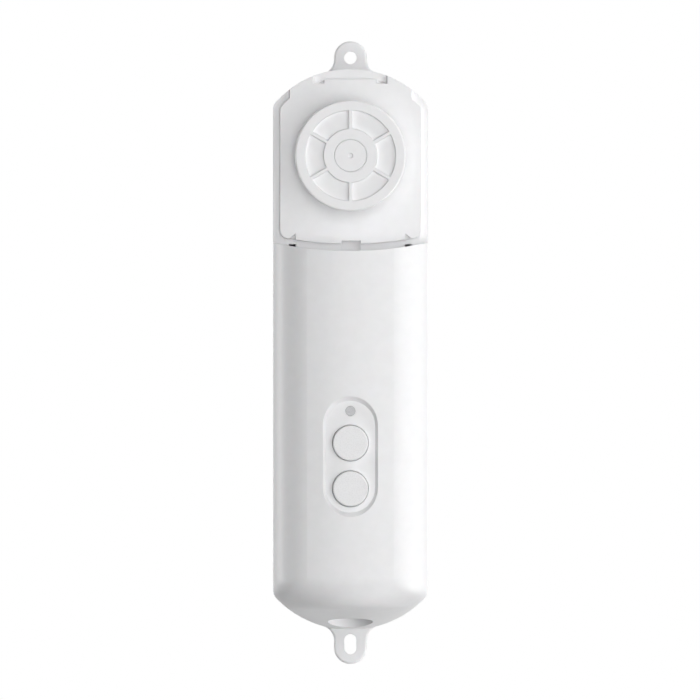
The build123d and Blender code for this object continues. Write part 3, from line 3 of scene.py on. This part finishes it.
import bpy
import numpy as np
from bpy.props import FloatProperty, FloatVectorProperty, PointerProperty
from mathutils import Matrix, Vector


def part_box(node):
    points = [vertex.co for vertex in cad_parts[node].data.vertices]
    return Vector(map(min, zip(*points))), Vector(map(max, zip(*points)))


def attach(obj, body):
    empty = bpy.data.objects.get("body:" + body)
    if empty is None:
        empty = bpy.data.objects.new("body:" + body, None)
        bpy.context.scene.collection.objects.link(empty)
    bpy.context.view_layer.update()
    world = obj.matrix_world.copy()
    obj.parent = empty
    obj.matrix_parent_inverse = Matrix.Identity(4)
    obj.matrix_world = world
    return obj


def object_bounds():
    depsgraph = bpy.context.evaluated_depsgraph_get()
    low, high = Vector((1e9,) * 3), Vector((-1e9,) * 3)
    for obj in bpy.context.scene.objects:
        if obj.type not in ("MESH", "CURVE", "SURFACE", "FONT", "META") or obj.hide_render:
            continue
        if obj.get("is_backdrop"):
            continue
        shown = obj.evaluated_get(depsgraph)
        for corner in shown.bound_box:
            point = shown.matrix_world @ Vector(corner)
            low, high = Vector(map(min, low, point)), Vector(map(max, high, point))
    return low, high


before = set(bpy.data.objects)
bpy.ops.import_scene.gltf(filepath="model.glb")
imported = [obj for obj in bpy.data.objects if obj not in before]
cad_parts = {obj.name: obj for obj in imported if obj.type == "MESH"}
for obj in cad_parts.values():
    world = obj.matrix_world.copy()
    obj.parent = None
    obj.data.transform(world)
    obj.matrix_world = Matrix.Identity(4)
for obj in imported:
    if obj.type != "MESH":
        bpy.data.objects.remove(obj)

bl_info = {
    "name": "Roller blind robot looks",
    "version": (1, 0, 0),
    "blender": (4, 5, 0),
    "location": "3D View > Sidebar > Blind Robot",
    "description": "Materials, finishing pieces, light and camera for a packed roller blind robot",
    "category": "Object",
}

MM = 0.001
WHITE = (1.0, 1.0, 1.0, 1.0)

# Most values of a noise texture lie in this range, so its tones and its shine are spread over it.
NOISE_RANGE = {"From Min": 0.3, "From Max": 0.7}

# A wave texture of scale 1 repeats at this distance.
WAVE_TURN = math.tau / 20

# Lamp name, direction round from the front to the right and up in degrees, width and height in metres.
LAMPS = (
    ("front", 0, 5, 0.5, 1.0),
    ("corner", 40, 5, 0.5, 1.0),
    ("side", 80, 45, 0.6, 0.6),
    ("rim", -110, 5, 0.5, 1.0),
    ("low", 90, -40, 0.6, 0.6),
    ("fill", 35, -35, 1.6, 1.4),
    ("back", 180, 5, 0.8, 1.0),
)

# The object's middle, which the lamps look at.
LAMP_AIM = Vector((0.0, -20 * MM, 0.0))

# Metal name: palest tone, darkest tone, roughness, pull of the streaks along x, y and z (a small number draws
# them out), edge round and streak depth in mm, and the nodes that are made of it.
METALS = {
    # Zinc plating on turned steel: bright grey with a faint cloud, and corners that look worn soft.
    "zinc_plated_screws": (
        "#c3c2bd", "#b0afa9", 0.34, (1, 1, 1), 0.12, 0.006,
        ("housing_screws", "wheel_screw", "bracket_screws", "gearhead_screws", "board_screws"),
    ),
    # Ground steel: a clear shine broken by fine lines.
    "ground_steel_shafts": (
        "#bcbcbf", "#a8a8ac", 0.22, (1, 0.2, 1), 0.08, 0.006, ("output_shaft", "pinion_shaft"),
    ),
    # Blackened spring steel: nearly black with a dull gleam.
    "blackened_spring_steel": ("#38393d", "#2b2c30", 0.4, (1, 1, 1), 0.08, 0.006, ("shaft_clip",)),
    # Sintered bronze: a warm brown with open pores.
    "sintered_bronze_bushes": (
        "#b58a5c", "#96704a", 0.5, (1, 1, 1), 0.08, 0.02, ("front_bush", "rear_bush"),
    ),
    # Sintered steel: mid grey, matt and porous.
    "sintered_steel_gear": ("#9b9ba0", "#85858a", 0.45, (1, 1, 1), 0.08, 0.02, ("bevel_gear",)),
    # Cut brass: yellow with cutter marks along the axis.
    "cut_brass_pinion": (
        "#d6ad5e", "#c09648", 0.28, (1, 1, 0.2), 0.08, 0.006, ("bevel_pinion", "motor_terminals"),
    ),
    # Die-cast zinc: flat grey with a slightly orange-peel skin.
    "die_cast_zinc_plate": ("#bdbdbd", "#a9a9aa", 0.42, (1, 1, 1), 0.1, 0.015, ("gearhead_plate",)),
    # Turned steel: fine rings that draw the light round the case.
    "turned_steel_gearhead": ("#b2b2b5", "#9c9ca0", 0.3, (0.15, 0.15, 1), 0.08, 0.006, ("gearhead_case",)),
    # Drawn steel: long faint lines from the die along the can.
    "drawn_steel_motor_can": ("#c2c2c4", "#aeaeb0", 0.26, (1, 1, 0.1), 0.08, 0.006, ("motor_can",)),
    # Galvanised sheet: cool grey with rolling lines.
    "galvanised_sheet_bracket": ("#b4b7ba", "#9da1a5", 0.4, (0.3, 1, 1), 0.1, 0.01, ("motor_bracket",)),
    # Rolled nickel: a warm light grey with lines along the strip.
    "rolled_nickel_strip": ("#c6c4bb", "#b3b1a8", 0.3, (0.1, 1, 1), 0.08, 0.006, ("nickel_strips",)),
    # Tinned sheet: a pale soft mirror.
    "tinned_shield_can": (
        "#c8c8c6", "#b6b6b4", 0.24, (1, 1, 0.3), 0.08, 0.006, ("radio_module", "charging_socket"),
    ),
}

# Plastic name: palest tone, darkest tone, roughness, texture size and edge round in mm, inner glow, share of a
# clear skin, and the nodes that are made of it.
INNER_PLASTICS = {
    # Moulded black nylon: a deep, slightly silky black.
    "black_nylon_mouldings": (
        "#1b1b1d", "#151517", 0.5, 0.3, 0.1, 0.0, 0.0,
        ("motor_end_cap", "switch_body_up", "switch_body_down", "socket_tongue"),
    ),
    # Moulded grey nylon: a plain mid grey with a dull gleam.
    "grey_nylon_plungers": (
        "#8a8a8c", "#7d7d80", 0.45, 0.3, 0.1, 0.0, 0.0, ("switch_plunger_up", "switch_plunger_down"),
    ),
    # Moulded dark ABS: charcoal with a fine texture.
    "dark_abs_cradle": ("#2c2d30", "#242528", 0.5, 0.3, 0.15, 0.0, 0.0, ("battery_cradle",)),
    # Moulded epoxy: dull black with a sandy skin.
    "black_epoxy_packages": ("#161618", "#101012", 0.55, 0.12, 0.05, 0.0, 0.0, ("board_parts",)),
    # Shrunk film: blue under a smooth clear skin with slow ripples.
    "shrunk_cell_sleeve": (
        "#2b5a96", "#244f88", 0.3, 1.2, 0.1, 0.0, 0.3, ("battery_cell_left", "battery_cell_right"),
    ),
    # Cast resin: a milky body that glows a little under a glossy skin.
    "clear_led_resin": ("#e9e7d6", "#dcd9c4", 0.2, 0.6, 0.05, 0.2, 0.5, ("indicator_led",)),
}


def linear_channel(value):
    """One sRGB channel from 0 to 1 as linear light."""
    if value <= 0.04045:
        return value / 12.92
    return ((value + 0.055) / 1.055) ** 2.4


def hex_colour(text):
    """An sRGB hex colour as linear red, green, blue and alpha."""
    channels = [int(text[i:i + 2], 16) / 255 for i in (1, 3, 5)]
    return (*(linear_channel(c) for c in channels), 1.0)


def add_node(tree, kind, settings=None, links=None):
    """A shader node. A setting is an attribute or an input's value, and a link is an input and a socket."""
    node = tree.nodes.new(kind)
    for key, value in (settings or {}).items():
        if isinstance(key, str) and hasattr(node, key):
            setattr(node, key, value)
        else:
            node.inputs[key].default_value = value
    for key, socket in (links or {}).items():
        tree.links.new(socket, node.inputs[key])
    return node


def new_material(name):
    """A material with an empty node tree, and the tree."""
    material = bpy.data.materials.new(name)
    material.use_nodes = True
    tree = material.node_tree
    tree.nodes.clear()
    return material, tree


def close_material(tree, settings, links):
    """Ends a tree with its surface shader and its output."""
    shader = add_node(tree, "ShaderNodeBsdfPrincipled", settings, links)
    add_node(tree, "ShaderNodeOutputMaterial", None, {"Surface": shader.outputs[0]})


def millimetres(tree):
    """The object's own coordinates in millimetres."""
    place = add_node(tree, "ShaderNodeTexCoord").outputs["Object"]
    settings = {"operation": "SCALE", "Scale": 1 / MM}
    return add_node(tree, "ShaderNodeVectorMath", settings, {0: place}).outputs[0]


def two_tones(tree, value, light, dark, steps=NOISE_RANGE):
    """A colour that goes from light to dark as a value goes through a range."""
    share = add_node(tree, "ShaderNodeMapRange", steps, {"Value": value}).outputs["Result"]
    return add_node(tree, "ShaderNodeMix", {"data_type": "RGBA", 6: light, 7: dark}, {0: share}).outputs[2]


def relief(tree, edge_mm, *layers):
    """A shading normal: an edge's small round, then bumps given as height, depth in mm and strength."""
    normal = add_node(tree, "ShaderNodeBevel", {"samples": 6, "Radius": edge_mm * MM}).outputs["Normal"]
    for height, depth_mm, strength in layers:
        settings = {"Strength": strength, "Distance": depth_mm * MM}
        links = {"Height": height, "Normal": normal}
        normal = add_node(tree, "ShaderNodeBump", settings, links).outputs["Normal"]
    return normal


def moulded_plastic(name, light, dark, rough, texture_mm, edge_mm, glow, skin):
    """Moulded plastic: a fine texture breaks the shine, slow waves show the flow, and clouds tint it."""
    material, tree = new_material(name)
    place = {"Vector": millimetres(tree)}
    # A mould's texture is 0.05 to 0.1 mm, too fine to show, so texture_mm is a few times coarser.
    settings = {"Scale": 1 / texture_mm, "Detail": 2.0, "Roughness": 0.6}
    fine = add_node(tree, "ShaderNodeTexNoise", settings, place).outputs["Fac"]
    # The melt leaves waves about 22 mm long and clouds of 3.5 mm.
    waves = add_node(tree, "ShaderNodeTexNoise", {"Scale": 1 / 22.0, "Detail": 1.0}, place).outputs["Fac"]
    settings = {"Scale": 1 / 3.5, "Detail": 3.0, "Roughness": 0.6}
    cloud = add_node(tree, "ShaderNodeTexNoise", settings, place).outputs["Fac"]
    spread = {**NOISE_RANGE, "To Min": rough - 0.05, "To Max": rough + 0.06}
    settings = {
        "IOR": 1.5,
        "Subsurface Weight": glow,
        "Subsurface Scale": 1.2 * MM,
        "Coat Weight": skin,
        "Coat Roughness": 0.2,
    }
    close_material(tree, settings, {
        "Base Color": two_tones(tree, cloud, light, dark),
        "Roughness": add_node(tree, "ShaderNodeMapRange", spread, {"Value": fine}).outputs["Result"],
        "Normal": relief(tree, edge_mm, (waves, 0.05, 0.25), (fine, 0.012, 0.35)),
    })
    return material


def worked_metal(name, light, dark, rough, pull, edge_mm, streak_mm):
    """Bare or plated metal: streaks along one way from drawing or grinding, with a slightly cloudy tone."""
    material, tree = new_material(name)
    place = millimetres(tree)
    pulled = add_node(tree, "ShaderNodeVectorMath", {"operation": "MULTIPLY", 1: pull}, {0: place}).outputs[0]
    # Tool marks are 0.01 to 0.05 mm wide, too fine to show, so they are drawn 0.25 mm wide.
    settings = {"Scale": 1 / 0.25, "Detail": 3.0, "Roughness": 0.65}
    streaks = add_node(tree, "ShaderNodeTexNoise", settings, {"Vector": pulled}).outputs["Fac"]
    cloud = add_node(tree, "ShaderNodeTexNoise", {"Scale": 1 / 4.0}, {"Vector": place}).outputs["Fac"]
    spread = {**NOISE_RANGE, "To Min": rough - 0.07, "To Max": rough + 0.1}
    close_material(tree, {"Metallic": 1.0}, {
        "Base Color": two_tones(tree, cloud, hex_colour(light), hex_colour(dark)),
        "Roughness": add_node(tree, "ShaderNodeMapRange", spread, {"Value": streaks}).outputs["Result"],
        "Normal": relief(tree, edge_mm, (streaks, streak_mm, 0.5)),
    })
    return material


def coated_board(name):
    """Glass-fibre board under green solder resist: a faint grid of the weave, copper as lighter fields."""
    material, tree = new_material(name)
    place = millimetres(tree)
    # The ripple over single yarns repeats about every 0.14 mm.
    yarns = []
    for way in ("X", "Z"):
        settings = {"Scale": WAVE_TURN / 0.1428, "Distortion": 0.6, "bands_direction": way}
        yarns.append(add_node(tree, "ShaderNodeTexWave", settings, {0: place}).outputs[1])
    weave = add_node(tree, "ShaderNodeMath", {"operation": "ADD"}, {0: yarns[0], 1: yarns[1]}).outputs[0]
    # Copper fields are about 3.6 mm across.
    settings = {"Scale": 1 / 3.57, "distance": "CHEBYCHEV"}
    fields = add_node(tree, "ShaderNodeTexVoronoi", settings, {"Vector": place}).outputs["Distance"]
    steps = {"From Min": 0.35, "From Max": 0.4}
    close_material(tree, {"Roughness": 0.32, "IOR": 1.5, "Coat Weight": 0.4, "Coat Roughness": 0.12}, {
        "Base Color": two_tones(tree, fields, hex_colour("#0d4a2a"), hex_colour("#12603a"), steps),
        "Normal": relief(tree, 0.05, (weave, 0.01, 0.3)),
    })
    return material


def frosted_rod_painted_shade(name):
    """Frosted acrylic in a dark well: the end face is painted matt grey for the shade of the well and of the dark
    inside behind it, under a thin shine.
    """
    material, tree = new_material(name)
    place = {"Vector": millimetres(tree)}
    # The frosting is about 0.02 mm deep and wide, so its grain is drawn 0.15 mm wide.
    frost = add_node(tree, "ShaderNodeTexNoise", {"Scale": 1 / 0.15}, place).outputs["Fac"]
    cloud = add_node(tree, "ShaderNodeTexNoise", {"Scale": 1 / 0.8}, place).outputs["Fac"]
    spread = {**NOISE_RANGE, "To Min": 0.2, "To Max": 0.34}
    settings = {"IOR": 1.49, "Transmission Weight": 0.05, "Coat Weight": 0.3, "Coat Roughness": 0.1}
    # The grey base tones are painted shade: they stand in for the dark well and the dark inside seen through the
    # acrylic.
    close_material(tree, settings, {
        "Base Color": two_tones(tree, cloud, hex_colour("#b6b6b9"), hex_colour("#b1b1b4")),
        "Roughness": add_node(tree, "ShaderNodeMapRange", spread, {"Value": frost}).outputs["Result"],
        "Normal": relief(tree, 0.1, (frost, 0.01, 0.3)),
    })
    return material


def shown_rays(tree):
    """1 for the rays that show the background: those of the camera, of shiny surfaces and of clear ones."""
    path = add_node(tree, "ShaderNodeLightPath").outputs
    largest = {"operation": "MAXIMUM"}
    seen = add_node(tree, "ShaderNodeMath", largest, {0: path["Is Camera Ray"], 1: path["Is Glossy Ray"]})
    links = {0: seen.outputs[0], 1: path["Is Transmission Ray"]}
    return add_node(tree, "ShaderNodeMath", largest, links).outputs[0]


def seamless_paper(name, light, dark, lift, plain, white):
    """Seamless paper: faint fibre flecks on a pale matt sheet, lifted near the object and white far off."""
    material, tree = new_material(name)
    place = millimetres(tree)
    # Paper fibres are about 0.05 mm wide, too fine to show, so they are drawn as flecks of 1.5 mm.
    settings = {"Scale": 1 / 1.5, "Detail": 3.0}
    fibre = add_node(tree, "ShaderNodeTexNoise", settings, {"Vector": place}).outputs["Fac"]
    bump = add_node(tree, "ShaderNodeBump", {"Strength": 0.2, "Distance": 0.05 * MM}, {"Height": fibre})
    far = add_node(tree, "ShaderNodeVectorMath", {"operation": "LENGTH"}, {0: place}).outputs["Value"]
    steps = {"From Min": plain / MM, "From Max": white / MM, "To Min": lift, "To Max": 1.0}
    fade = add_node(tree, "ShaderNodeMapRange", steps, {"Value": far}).outputs["Result"]
    glow = add_node(tree, "ShaderNodeMath", {"operation": "MULTIPLY"}, {0: shown_rays(tree), 1: fade})
    close_material(tree, {"Roughness": 0.9, "Emission Color": WHITE}, {
        "Base Color": two_tones(tree, fibre, light, dark),
        "Normal": bump.outputs["Normal"],
        "Emission Strength": glow.outputs[0],
    })
    return material


def give(node, material):
    """Puts a material on a CAD node."""
    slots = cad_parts[node].data.materials
    slots.clear()
    slots.append(material)


def grid_object(name, points):
    """A smooth surface from a grid of points in metres, shaped (rows, columns, 3)."""
    rows, columns = points.shape[:2]
    first = np.arange(rows * columns).reshape(rows, columns)
    corners = [first[:-1, :-1], first[:-1, 1:], first[1:, 1:], first[1:, :-1]]
    faces = np.stack(corners, axis=-1).reshape(-1, 4)
    mesh = bpy.data.meshes.new(name)
    mesh.from_pydata(points.reshape(-1, 3).tolist(), [], faces.tolist())
    mesh.polygons.foreach_set("use_smooth", np.ones(len(faces), dtype=bool))
    mesh.validate()
    obj = bpy.data.objects.new(name, mesh)
    bpy.context.scene.collection.objects.link(obj)
    return obj


def seat_seam(gap, sink):
    """The seam round the pressed-in cap, for u from 0 to 1 across and an angle all round.

    Its radius is the cap's own plus u times the gap. Its depth below the wheel's face is the sink times
    0.4 + 0.6 sin(pi u), deepest in the middle.
    """
    low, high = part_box("wheel_cap")
    middle = (low + high) / 2
    rings, spokes = 7, 145
    steps = (np.linspace(0, 1, rings), np.linspace(0, 2 * np.pi, spokes))
    across, around = np.meshgrid(*steps, indexing="ij")
    radius = (high.x - low.x) / 2 + gap * across
    depth = low.y + sink * (0.4 + 0.6 * np.sin(np.pi * across))
    points = [middle.x + radius * np.cos(around), depth, middle.z + radius * np.sin(around)]
    return grid_object("cap_seat_seam", np.stack(points, axis=-1))


class ShellSettings(bpy.types.PropertyGroup):
    """Tones and surface sizes of the moulded outside."""

    light: FloatVectorProperty(
        name="Light tone", description="Plastic at its palest",
        default=hex_colour("#f3f3f4"), subtype="COLOR", size=4, min=0.0, max=1.0)
    dark: FloatVectorProperty(
        name="Dark tone", description="Plastic where the melt flowed last",
        default=hex_colour("#f0f0f1"), subtype="COLOR", size=4, min=0.0, max=1.0)
    button_light: FloatVectorProperty(
        name="Button light tone", description="Buttons at their palest",
        default=hex_colour("#ebebec"), subtype="COLOR", size=4, min=0.0, max=1.0)
    button_dark: FloatVectorProperty(
        name="Button dark tone", description="Buttons at their darkest",
        default=hex_colour("#e8e8e9"), subtype="COLOR", size=4, min=0.0, max=1.0)
    glow: FloatProperty(
        name="Inner glow", description="Share of the light that scatters under the surface",
        default=0.04, subtype="FACTOR", min=0.0, max=1.0)
    rough: FloatProperty(
        name="Housing roughness", description="Spread of the housing's shine",
        default=0.42, subtype="FACTOR", min=0.1, max=0.9)
    plate_rough: FloatProperty(
        name="Plate roughness", description="Spread of the back plate's shine",
        default=0.46, subtype="FACTOR", min=0.1, max=0.9)
    button_rough: FloatProperty(
        name="Button roughness", description="Spread of the buttons' shine",
        default=0.28, subtype="FACTOR", min=0.1, max=0.9)
    texture: FloatProperty(
        name="Shell texture", description="Grain of the shell's eroded mould",
        default=0.28 * MM, unit="LENGTH", precision=5, min=0.05 * MM)
    button_texture: FloatProperty(
        name="Button texture", description="Grain of the buttons",
        default=0.35 * MM, unit="LENGTH", precision=5, min=0.05 * MM)
    edge: FloatProperty(
        name="Shell edge round", description="Radius on the shell's edges",
        default=0.22 * MM, unit="LENGTH", precision=5, min=0.0, max=1.0 * MM)
    button_edge: FloatProperty(
        name="Button edge round", description="Radius on the buttons' edges",
        default=0.4 * MM, unit="LENGTH", precision=5, min=0.0, max=1.0 * MM)


class WheelSettings(bpy.types.PropertyGroup):
    """Surface sizes of the wheel and of the seam round its cap."""

    rough: FloatProperty(
        name="Wheel roughness", description="Spread of the wheel's shine",
        default=0.4, subtype="FACTOR", min=0.1, max=0.9)
    texture: FloatProperty(
        name="Wheel texture", description="Grain of the wheel",
        default=0.5 * MM, unit="LENGTH", precision=5, min=0.05 * MM)
    edge: FloatProperty(
        name="Wheel edge round", description="Radius on the wheel's edges",
        default=0.35 * MM, unit="LENGTH", precision=5, min=0.0, max=1.0 * MM)
    seat_gap: FloatProperty(
        name="Seat gap", description="Play between the cap and its seat",
        default=0.12 * MM, unit="LENGTH", precision=5, min=0.01 * MM)
    seam_sink: FloatProperty(
        name="Seam depth", description="Depth of the seam round the cap",
        default=0.05 * MM, unit="LENGTH", precision=5, min=0.0)


class StageSettings(bpy.types.PropertyGroup):
    """Floor, lamps and camera."""

    floor_light: FloatVectorProperty(
        name="Floor light tone", description="Paper at its palest",
        default=hex_colour("#f8f8f8"), subtype="COLOR", size=4, min=0.0, max=1.0)
    floor_dark: FloatVectorProperty(
        name="Floor dark tone", description="Paper at its fibres",
        default=hex_colour("#f4f4f4"), subtype="COLOR", size=4, min=0.0, max=1.0)
    floor_width: FloatProperty(
        name="Floor width", description="Side of the square sheet", default=2.0, unit="LENGTH", min=0.5)
    floor_drop: FloatProperty(
        name="Floor drop", description="Depth of the floor below the object", default=80 * MM, unit="LENGTH")
    floor_lift: FloatProperty(
        name="Floor lift", description="Paleness that the floor near the object gains in view",
        default=0.4, subtype="FACTOR", min=0.0, max=1.0)
    floor_plain: FloatProperty(
        name="Fade start", description="Distance at which the floor starts to fade to white",
        default=300 * MM, unit="LENGTH", min=0.0)
    floor_white: FloatProperty(
        name="Fade end", description="Distance at which the floor is plain white",
        default=650 * MM, unit="LENGTH", min=0.0)
    reach: FloatProperty(
        name="Lamp distance", description="Distance of every lamp from the object",
        default=1.2, unit="LENGTH", min=0.3)
    front: FloatProperty(
        name="Front light", description="Power of the lamp in front", default=6.0, unit="POWER", min=0.0)
    corner: FloatProperty(
        name="Corner light", description="Power of the lamp front right", default=4.0, unit="POWER", min=0.0)
    side: FloatProperty(
        name="Side light", description="Power of the lamp high on the right",
        default=6.0, unit="POWER", min=0.0)
    rim: FloatProperty(
        name="Rim light", description="Power of the lamp on the left, a little behind",
        default=7.3, unit="POWER", min=0.0)
    low: FloatProperty(
        name="Low light", description="Power of the lamp low on the right",
        default=6.2, unit="POWER", min=0.0)
    fill: FloatProperty(
        name="Fill light", description="Power of the wide lamp in front and below",
        default=4.1, unit="POWER", min=0.0)
    back: FloatProperty(
        name="Back light", description="Power of the lamp behind", default=5.0, unit="POWER", min=0.0)
    view_width: FloatProperty(
        name="View width", description="Width of the picture at the object", default=210 * MM, unit="LENGTH")
    lens: FloatProperty(name="Lens", description="Focal length", default=900.0, unit="CAMERA", min=50.0)
    camera_side: FloatProperty(
        name="Camera side", description="Camera's place beside the object's middle",
        default=-0.12 * MM, unit="LENGTH", precision=5)


class MESH_OT_blind_robot_shell(bpy.types.Operator):
    """Finishes the housing, the back plate and the buttons as moulded white plastic."""

    bl_idname = "mesh.blind_robot_shell"
    bl_label = "Finish the Shell"

    def execute(self, context):
        s = context.scene.blind_robot_shell
        tones, sizes = (s.light, s.dark), (s.texture / MM, s.edge / MM)
        # Eroded ABS: a soft satin shine that spreads over the crowned face.
        shell = moulded_plastic("satin_abs_eroded_mould", *tones, s.rough, *sizes, s.glow, 0.0)
        # The back plate's mould is a little coarser, so it looks more matt.
        plate = moulded_plastic("satin_abs_back_plate", *tones, s.plate_rough, *sizes, s.glow, 0.0)
        # Polished ABS: the buttons' rims catch a tighter highlight.
        tones, sizes = (s.button_light, s.button_dark), (s.button_texture / MM, s.button_edge / MM)
        button = moulded_plastic("polished_abs_buttons", *tones, s.button_rough, *sizes, s.glow, 0.0)
        give("front_housing", shell)
        give("back_plate", plate)
        give("button_up", button)
        give("button_down", button)
        return {"FINISHED"}


class MESH_OT_blind_robot_wheel(bpy.types.Operator):
    """Finishes the bead wheel and its cap as moulded acetal, and adds the seam round the cap."""

    bl_idname = "mesh.blind_robot_wheel"
    bl_label = "Finish the Wheel"

    def execute(self, context):
        s, w = context.scene.blind_robot_shell, context.scene.blind_robot_wheel
        # Moulded acetal: as white as the shell, a touch glossier, with rounder edges.
        sizes = (w.texture / MM, w.edge / MM)
        wheel = moulded_plastic("moulded_acetal_wheel", s.light, s.dark, w.rough, *sizes, s.glow, 0.0)
        give("drive_wheel", wheel)
        give("wheel_cap", wheel)
        seam = seat_seam(w.seat_gap, w.seam_sink)
        seam.data.materials.append(wheel)
        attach(seam, "drive")
        return {"FINISHED"}


class MESH_OT_blind_robot_inside(bpy.types.Operator):
    """Finishes the drive, the battery, the boards, the light pipe and the screws."""

    bl_idname = "mesh.blind_robot_inside"
    bl_label = "Finish the Inside"

    def execute(self, context):
        for name, (*finish, nodes) in METALS.items():
            metal = worked_metal(name, *finish)
            for node in nodes:
                give(node, metal)
        for name, (light, dark, *finish, nodes) in INNER_PLASTICS.items():
            plastic = moulded_plastic(name, hex_colour(light), hex_colour(dark), *finish)
            for node in nodes:
                give(node, plastic)
        board = coated_board("green_solder_resist_board")
        give("main_board", board)
        give("charge_board", board)
        give("light_pipe", frosted_rod_painted_shade("frosted_acrylic_light_pipe"))
        return {"FINISHED"}


def soft_lamp(name, around, up, width, height, power, reach):
    """A soft oblong lamp in a direction round from the front and up, in degrees, that looks at the object."""
    around, up = math.radians(around), math.radians(up)
    level = math.cos(up)
    toward = Vector((math.sin(around) * level, -math.cos(around) * level, math.sin(up)))
    data = bpy.data.lights.new(name, "AREA")
    data.shape = "RECTANGLE"
    data.size, data.size_y = width, height
    data.energy = power
    lamp = bpy.data.objects.new(name, data)
    lamp.location = LAMP_AIM + reach * toward
    lamp.rotation_euler = (-toward).to_track_quat("-Z", "Y").to_euler()
    bpy.context.scene.collection.objects.link(lamp)


def paper_floor(s):
    """A square sheet below the object. It takes the object's shade but blocks no lamp and sends no light back."""
    half, z = s.floor_width / 2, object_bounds()[0].z - s.floor_drop
    mesh = bpy.data.meshes.new("paper_floor")
    corners = [(-half, -half, z), (half, -half, z), (half, half, z), (-half, half, z)]
    mesh.from_pydata(corners, [], [(0, 1, 2, 3)])
    tones = (s.floor_light, s.floor_dark)
    fade = (s.floor_lift, s.floor_plain, s.floor_white)
    mesh.materials.append(seamless_paper("pale_seamless_paper", *tones, *fade))
    floor = bpy.data.objects.new("paper_floor", mesh)
    floor.visible_shadow = False
    floor.visible_diffuse = False
    bpy.context.scene.collection.objects.link(floor)
    floor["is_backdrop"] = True


def white_room():
    """A world that shows as plain white to the camera and in shiny surfaces, and lights nothing."""
    world = bpy.data.worlds.new("white_room")
    world.use_nodes = True
    tree = world.node_tree
    tree.nodes.clear()
    white = add_node(tree, "ShaderNodeBackground", {"Color": WHITE}, {"Strength": shown_rays(tree)})
    add_node(tree, "ShaderNodeOutputWorld", None, {"Surface": white.outputs[0]})
    bpy.context.scene.world = world


def front_camera(s):
    """A camera straight in front of the object, far enough away that its view is nearly parallel."""
    data = bpy.data.cameras.new("camera")
    data.lens = s.lens
    data.sensor_width = 36.0
    data.dof.use_dof = False
    distance = s.view_width * s.lens / data.sensor_width
    data.clip_start, data.clip_end = 0.1, 4 * distance
    camera = bpy.data.objects.new("camera", data)
    camera.location = (s.camera_side, -distance, 0.0)
    camera.rotation_euler = (math.pi / 2, 0.0, 0.0)
    bpy.context.scene.collection.objects.link(camera)
    bpy.context.scene.camera = camera


class SCENE_OT_blind_robot_stage(bpy.types.Operator):
    """Sets the floor, the white room, the lamps and the camera."""

    bl_idname = "scene.blind_robot_stage"
    bl_label = "Set the Stage"

    def execute(self, context):
        s = context.scene.blind_robot_stage
        paper_floor(s)
        white_room()
        for name, *place in LAMPS:
            soft_lamp(f"{name}_light", *place, getattr(s, name), s.reach)
        front_camera(s)
        context.scene.view_settings.view_transform = "Standard"
        return {"FINISHED"}


class VIEW3D_PT_blind_robot(bpy.types.Panel):
    """The add-on's panel in the sidebar."""

    bl_label = "Blind Robot"
    bl_space_type = "VIEW_3D"
    bl_region_type = "UI"
    bl_category = "Blind Robot"

    def draw(self, context):
        scene = context.scene
        for group in (scene.blind_robot_shell, scene.blind_robot_wheel, scene.blind_robot_stage):
            box = self.layout.box()
            for name in group.__annotations__:
                box.prop(group, name)
        for operator in OPERATORS:
            self.layout.operator(operator.bl_idname)


OPERATORS = (
    MESH_OT_blind_robot_shell,
    MESH_OT_blind_robot_wheel,
    MESH_OT_blind_robot_inside,
    SCENE_OT_blind_robot_stage,
)
CLASSES = (ShellSettings, WheelSettings, StageSettings, *OPERATORS, VIEW3D_PT_blind_robot)


def register():
    """Adds the classes and the scene's settings."""
    for cls in CLASSES:
        bpy.utils.register_class(cls)
    bpy.types.Scene.blind_robot_shell = PointerProperty(type=ShellSettings)
    bpy.types.Scene.blind_robot_wheel = PointerProperty(type=WheelSettings)
    bpy.types.Scene.blind_robot_stage = PointerProperty(type=StageSettings)


def unregister():
    """Takes them away again."""
    del bpy.types.Scene.blind_robot_stage
    del bpy.types.Scene.blind_robot_wheel
    del bpy.types.Scene.blind_robot_shell
    for cls in reversed(CLASSES):
        bpy.utils.unregister_class(cls)


def main():
    """Registers the add-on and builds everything."""
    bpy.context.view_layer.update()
    register()
    bpy.ops.mesh.blind_robot_shell()
    bpy.ops.mesh.blind_robot_wheel()
    bpy.ops.mesh.blind_robot_inside()
    bpy.ops.scene.blind_robot_stage()


if __name__ == "__main__":
    main()
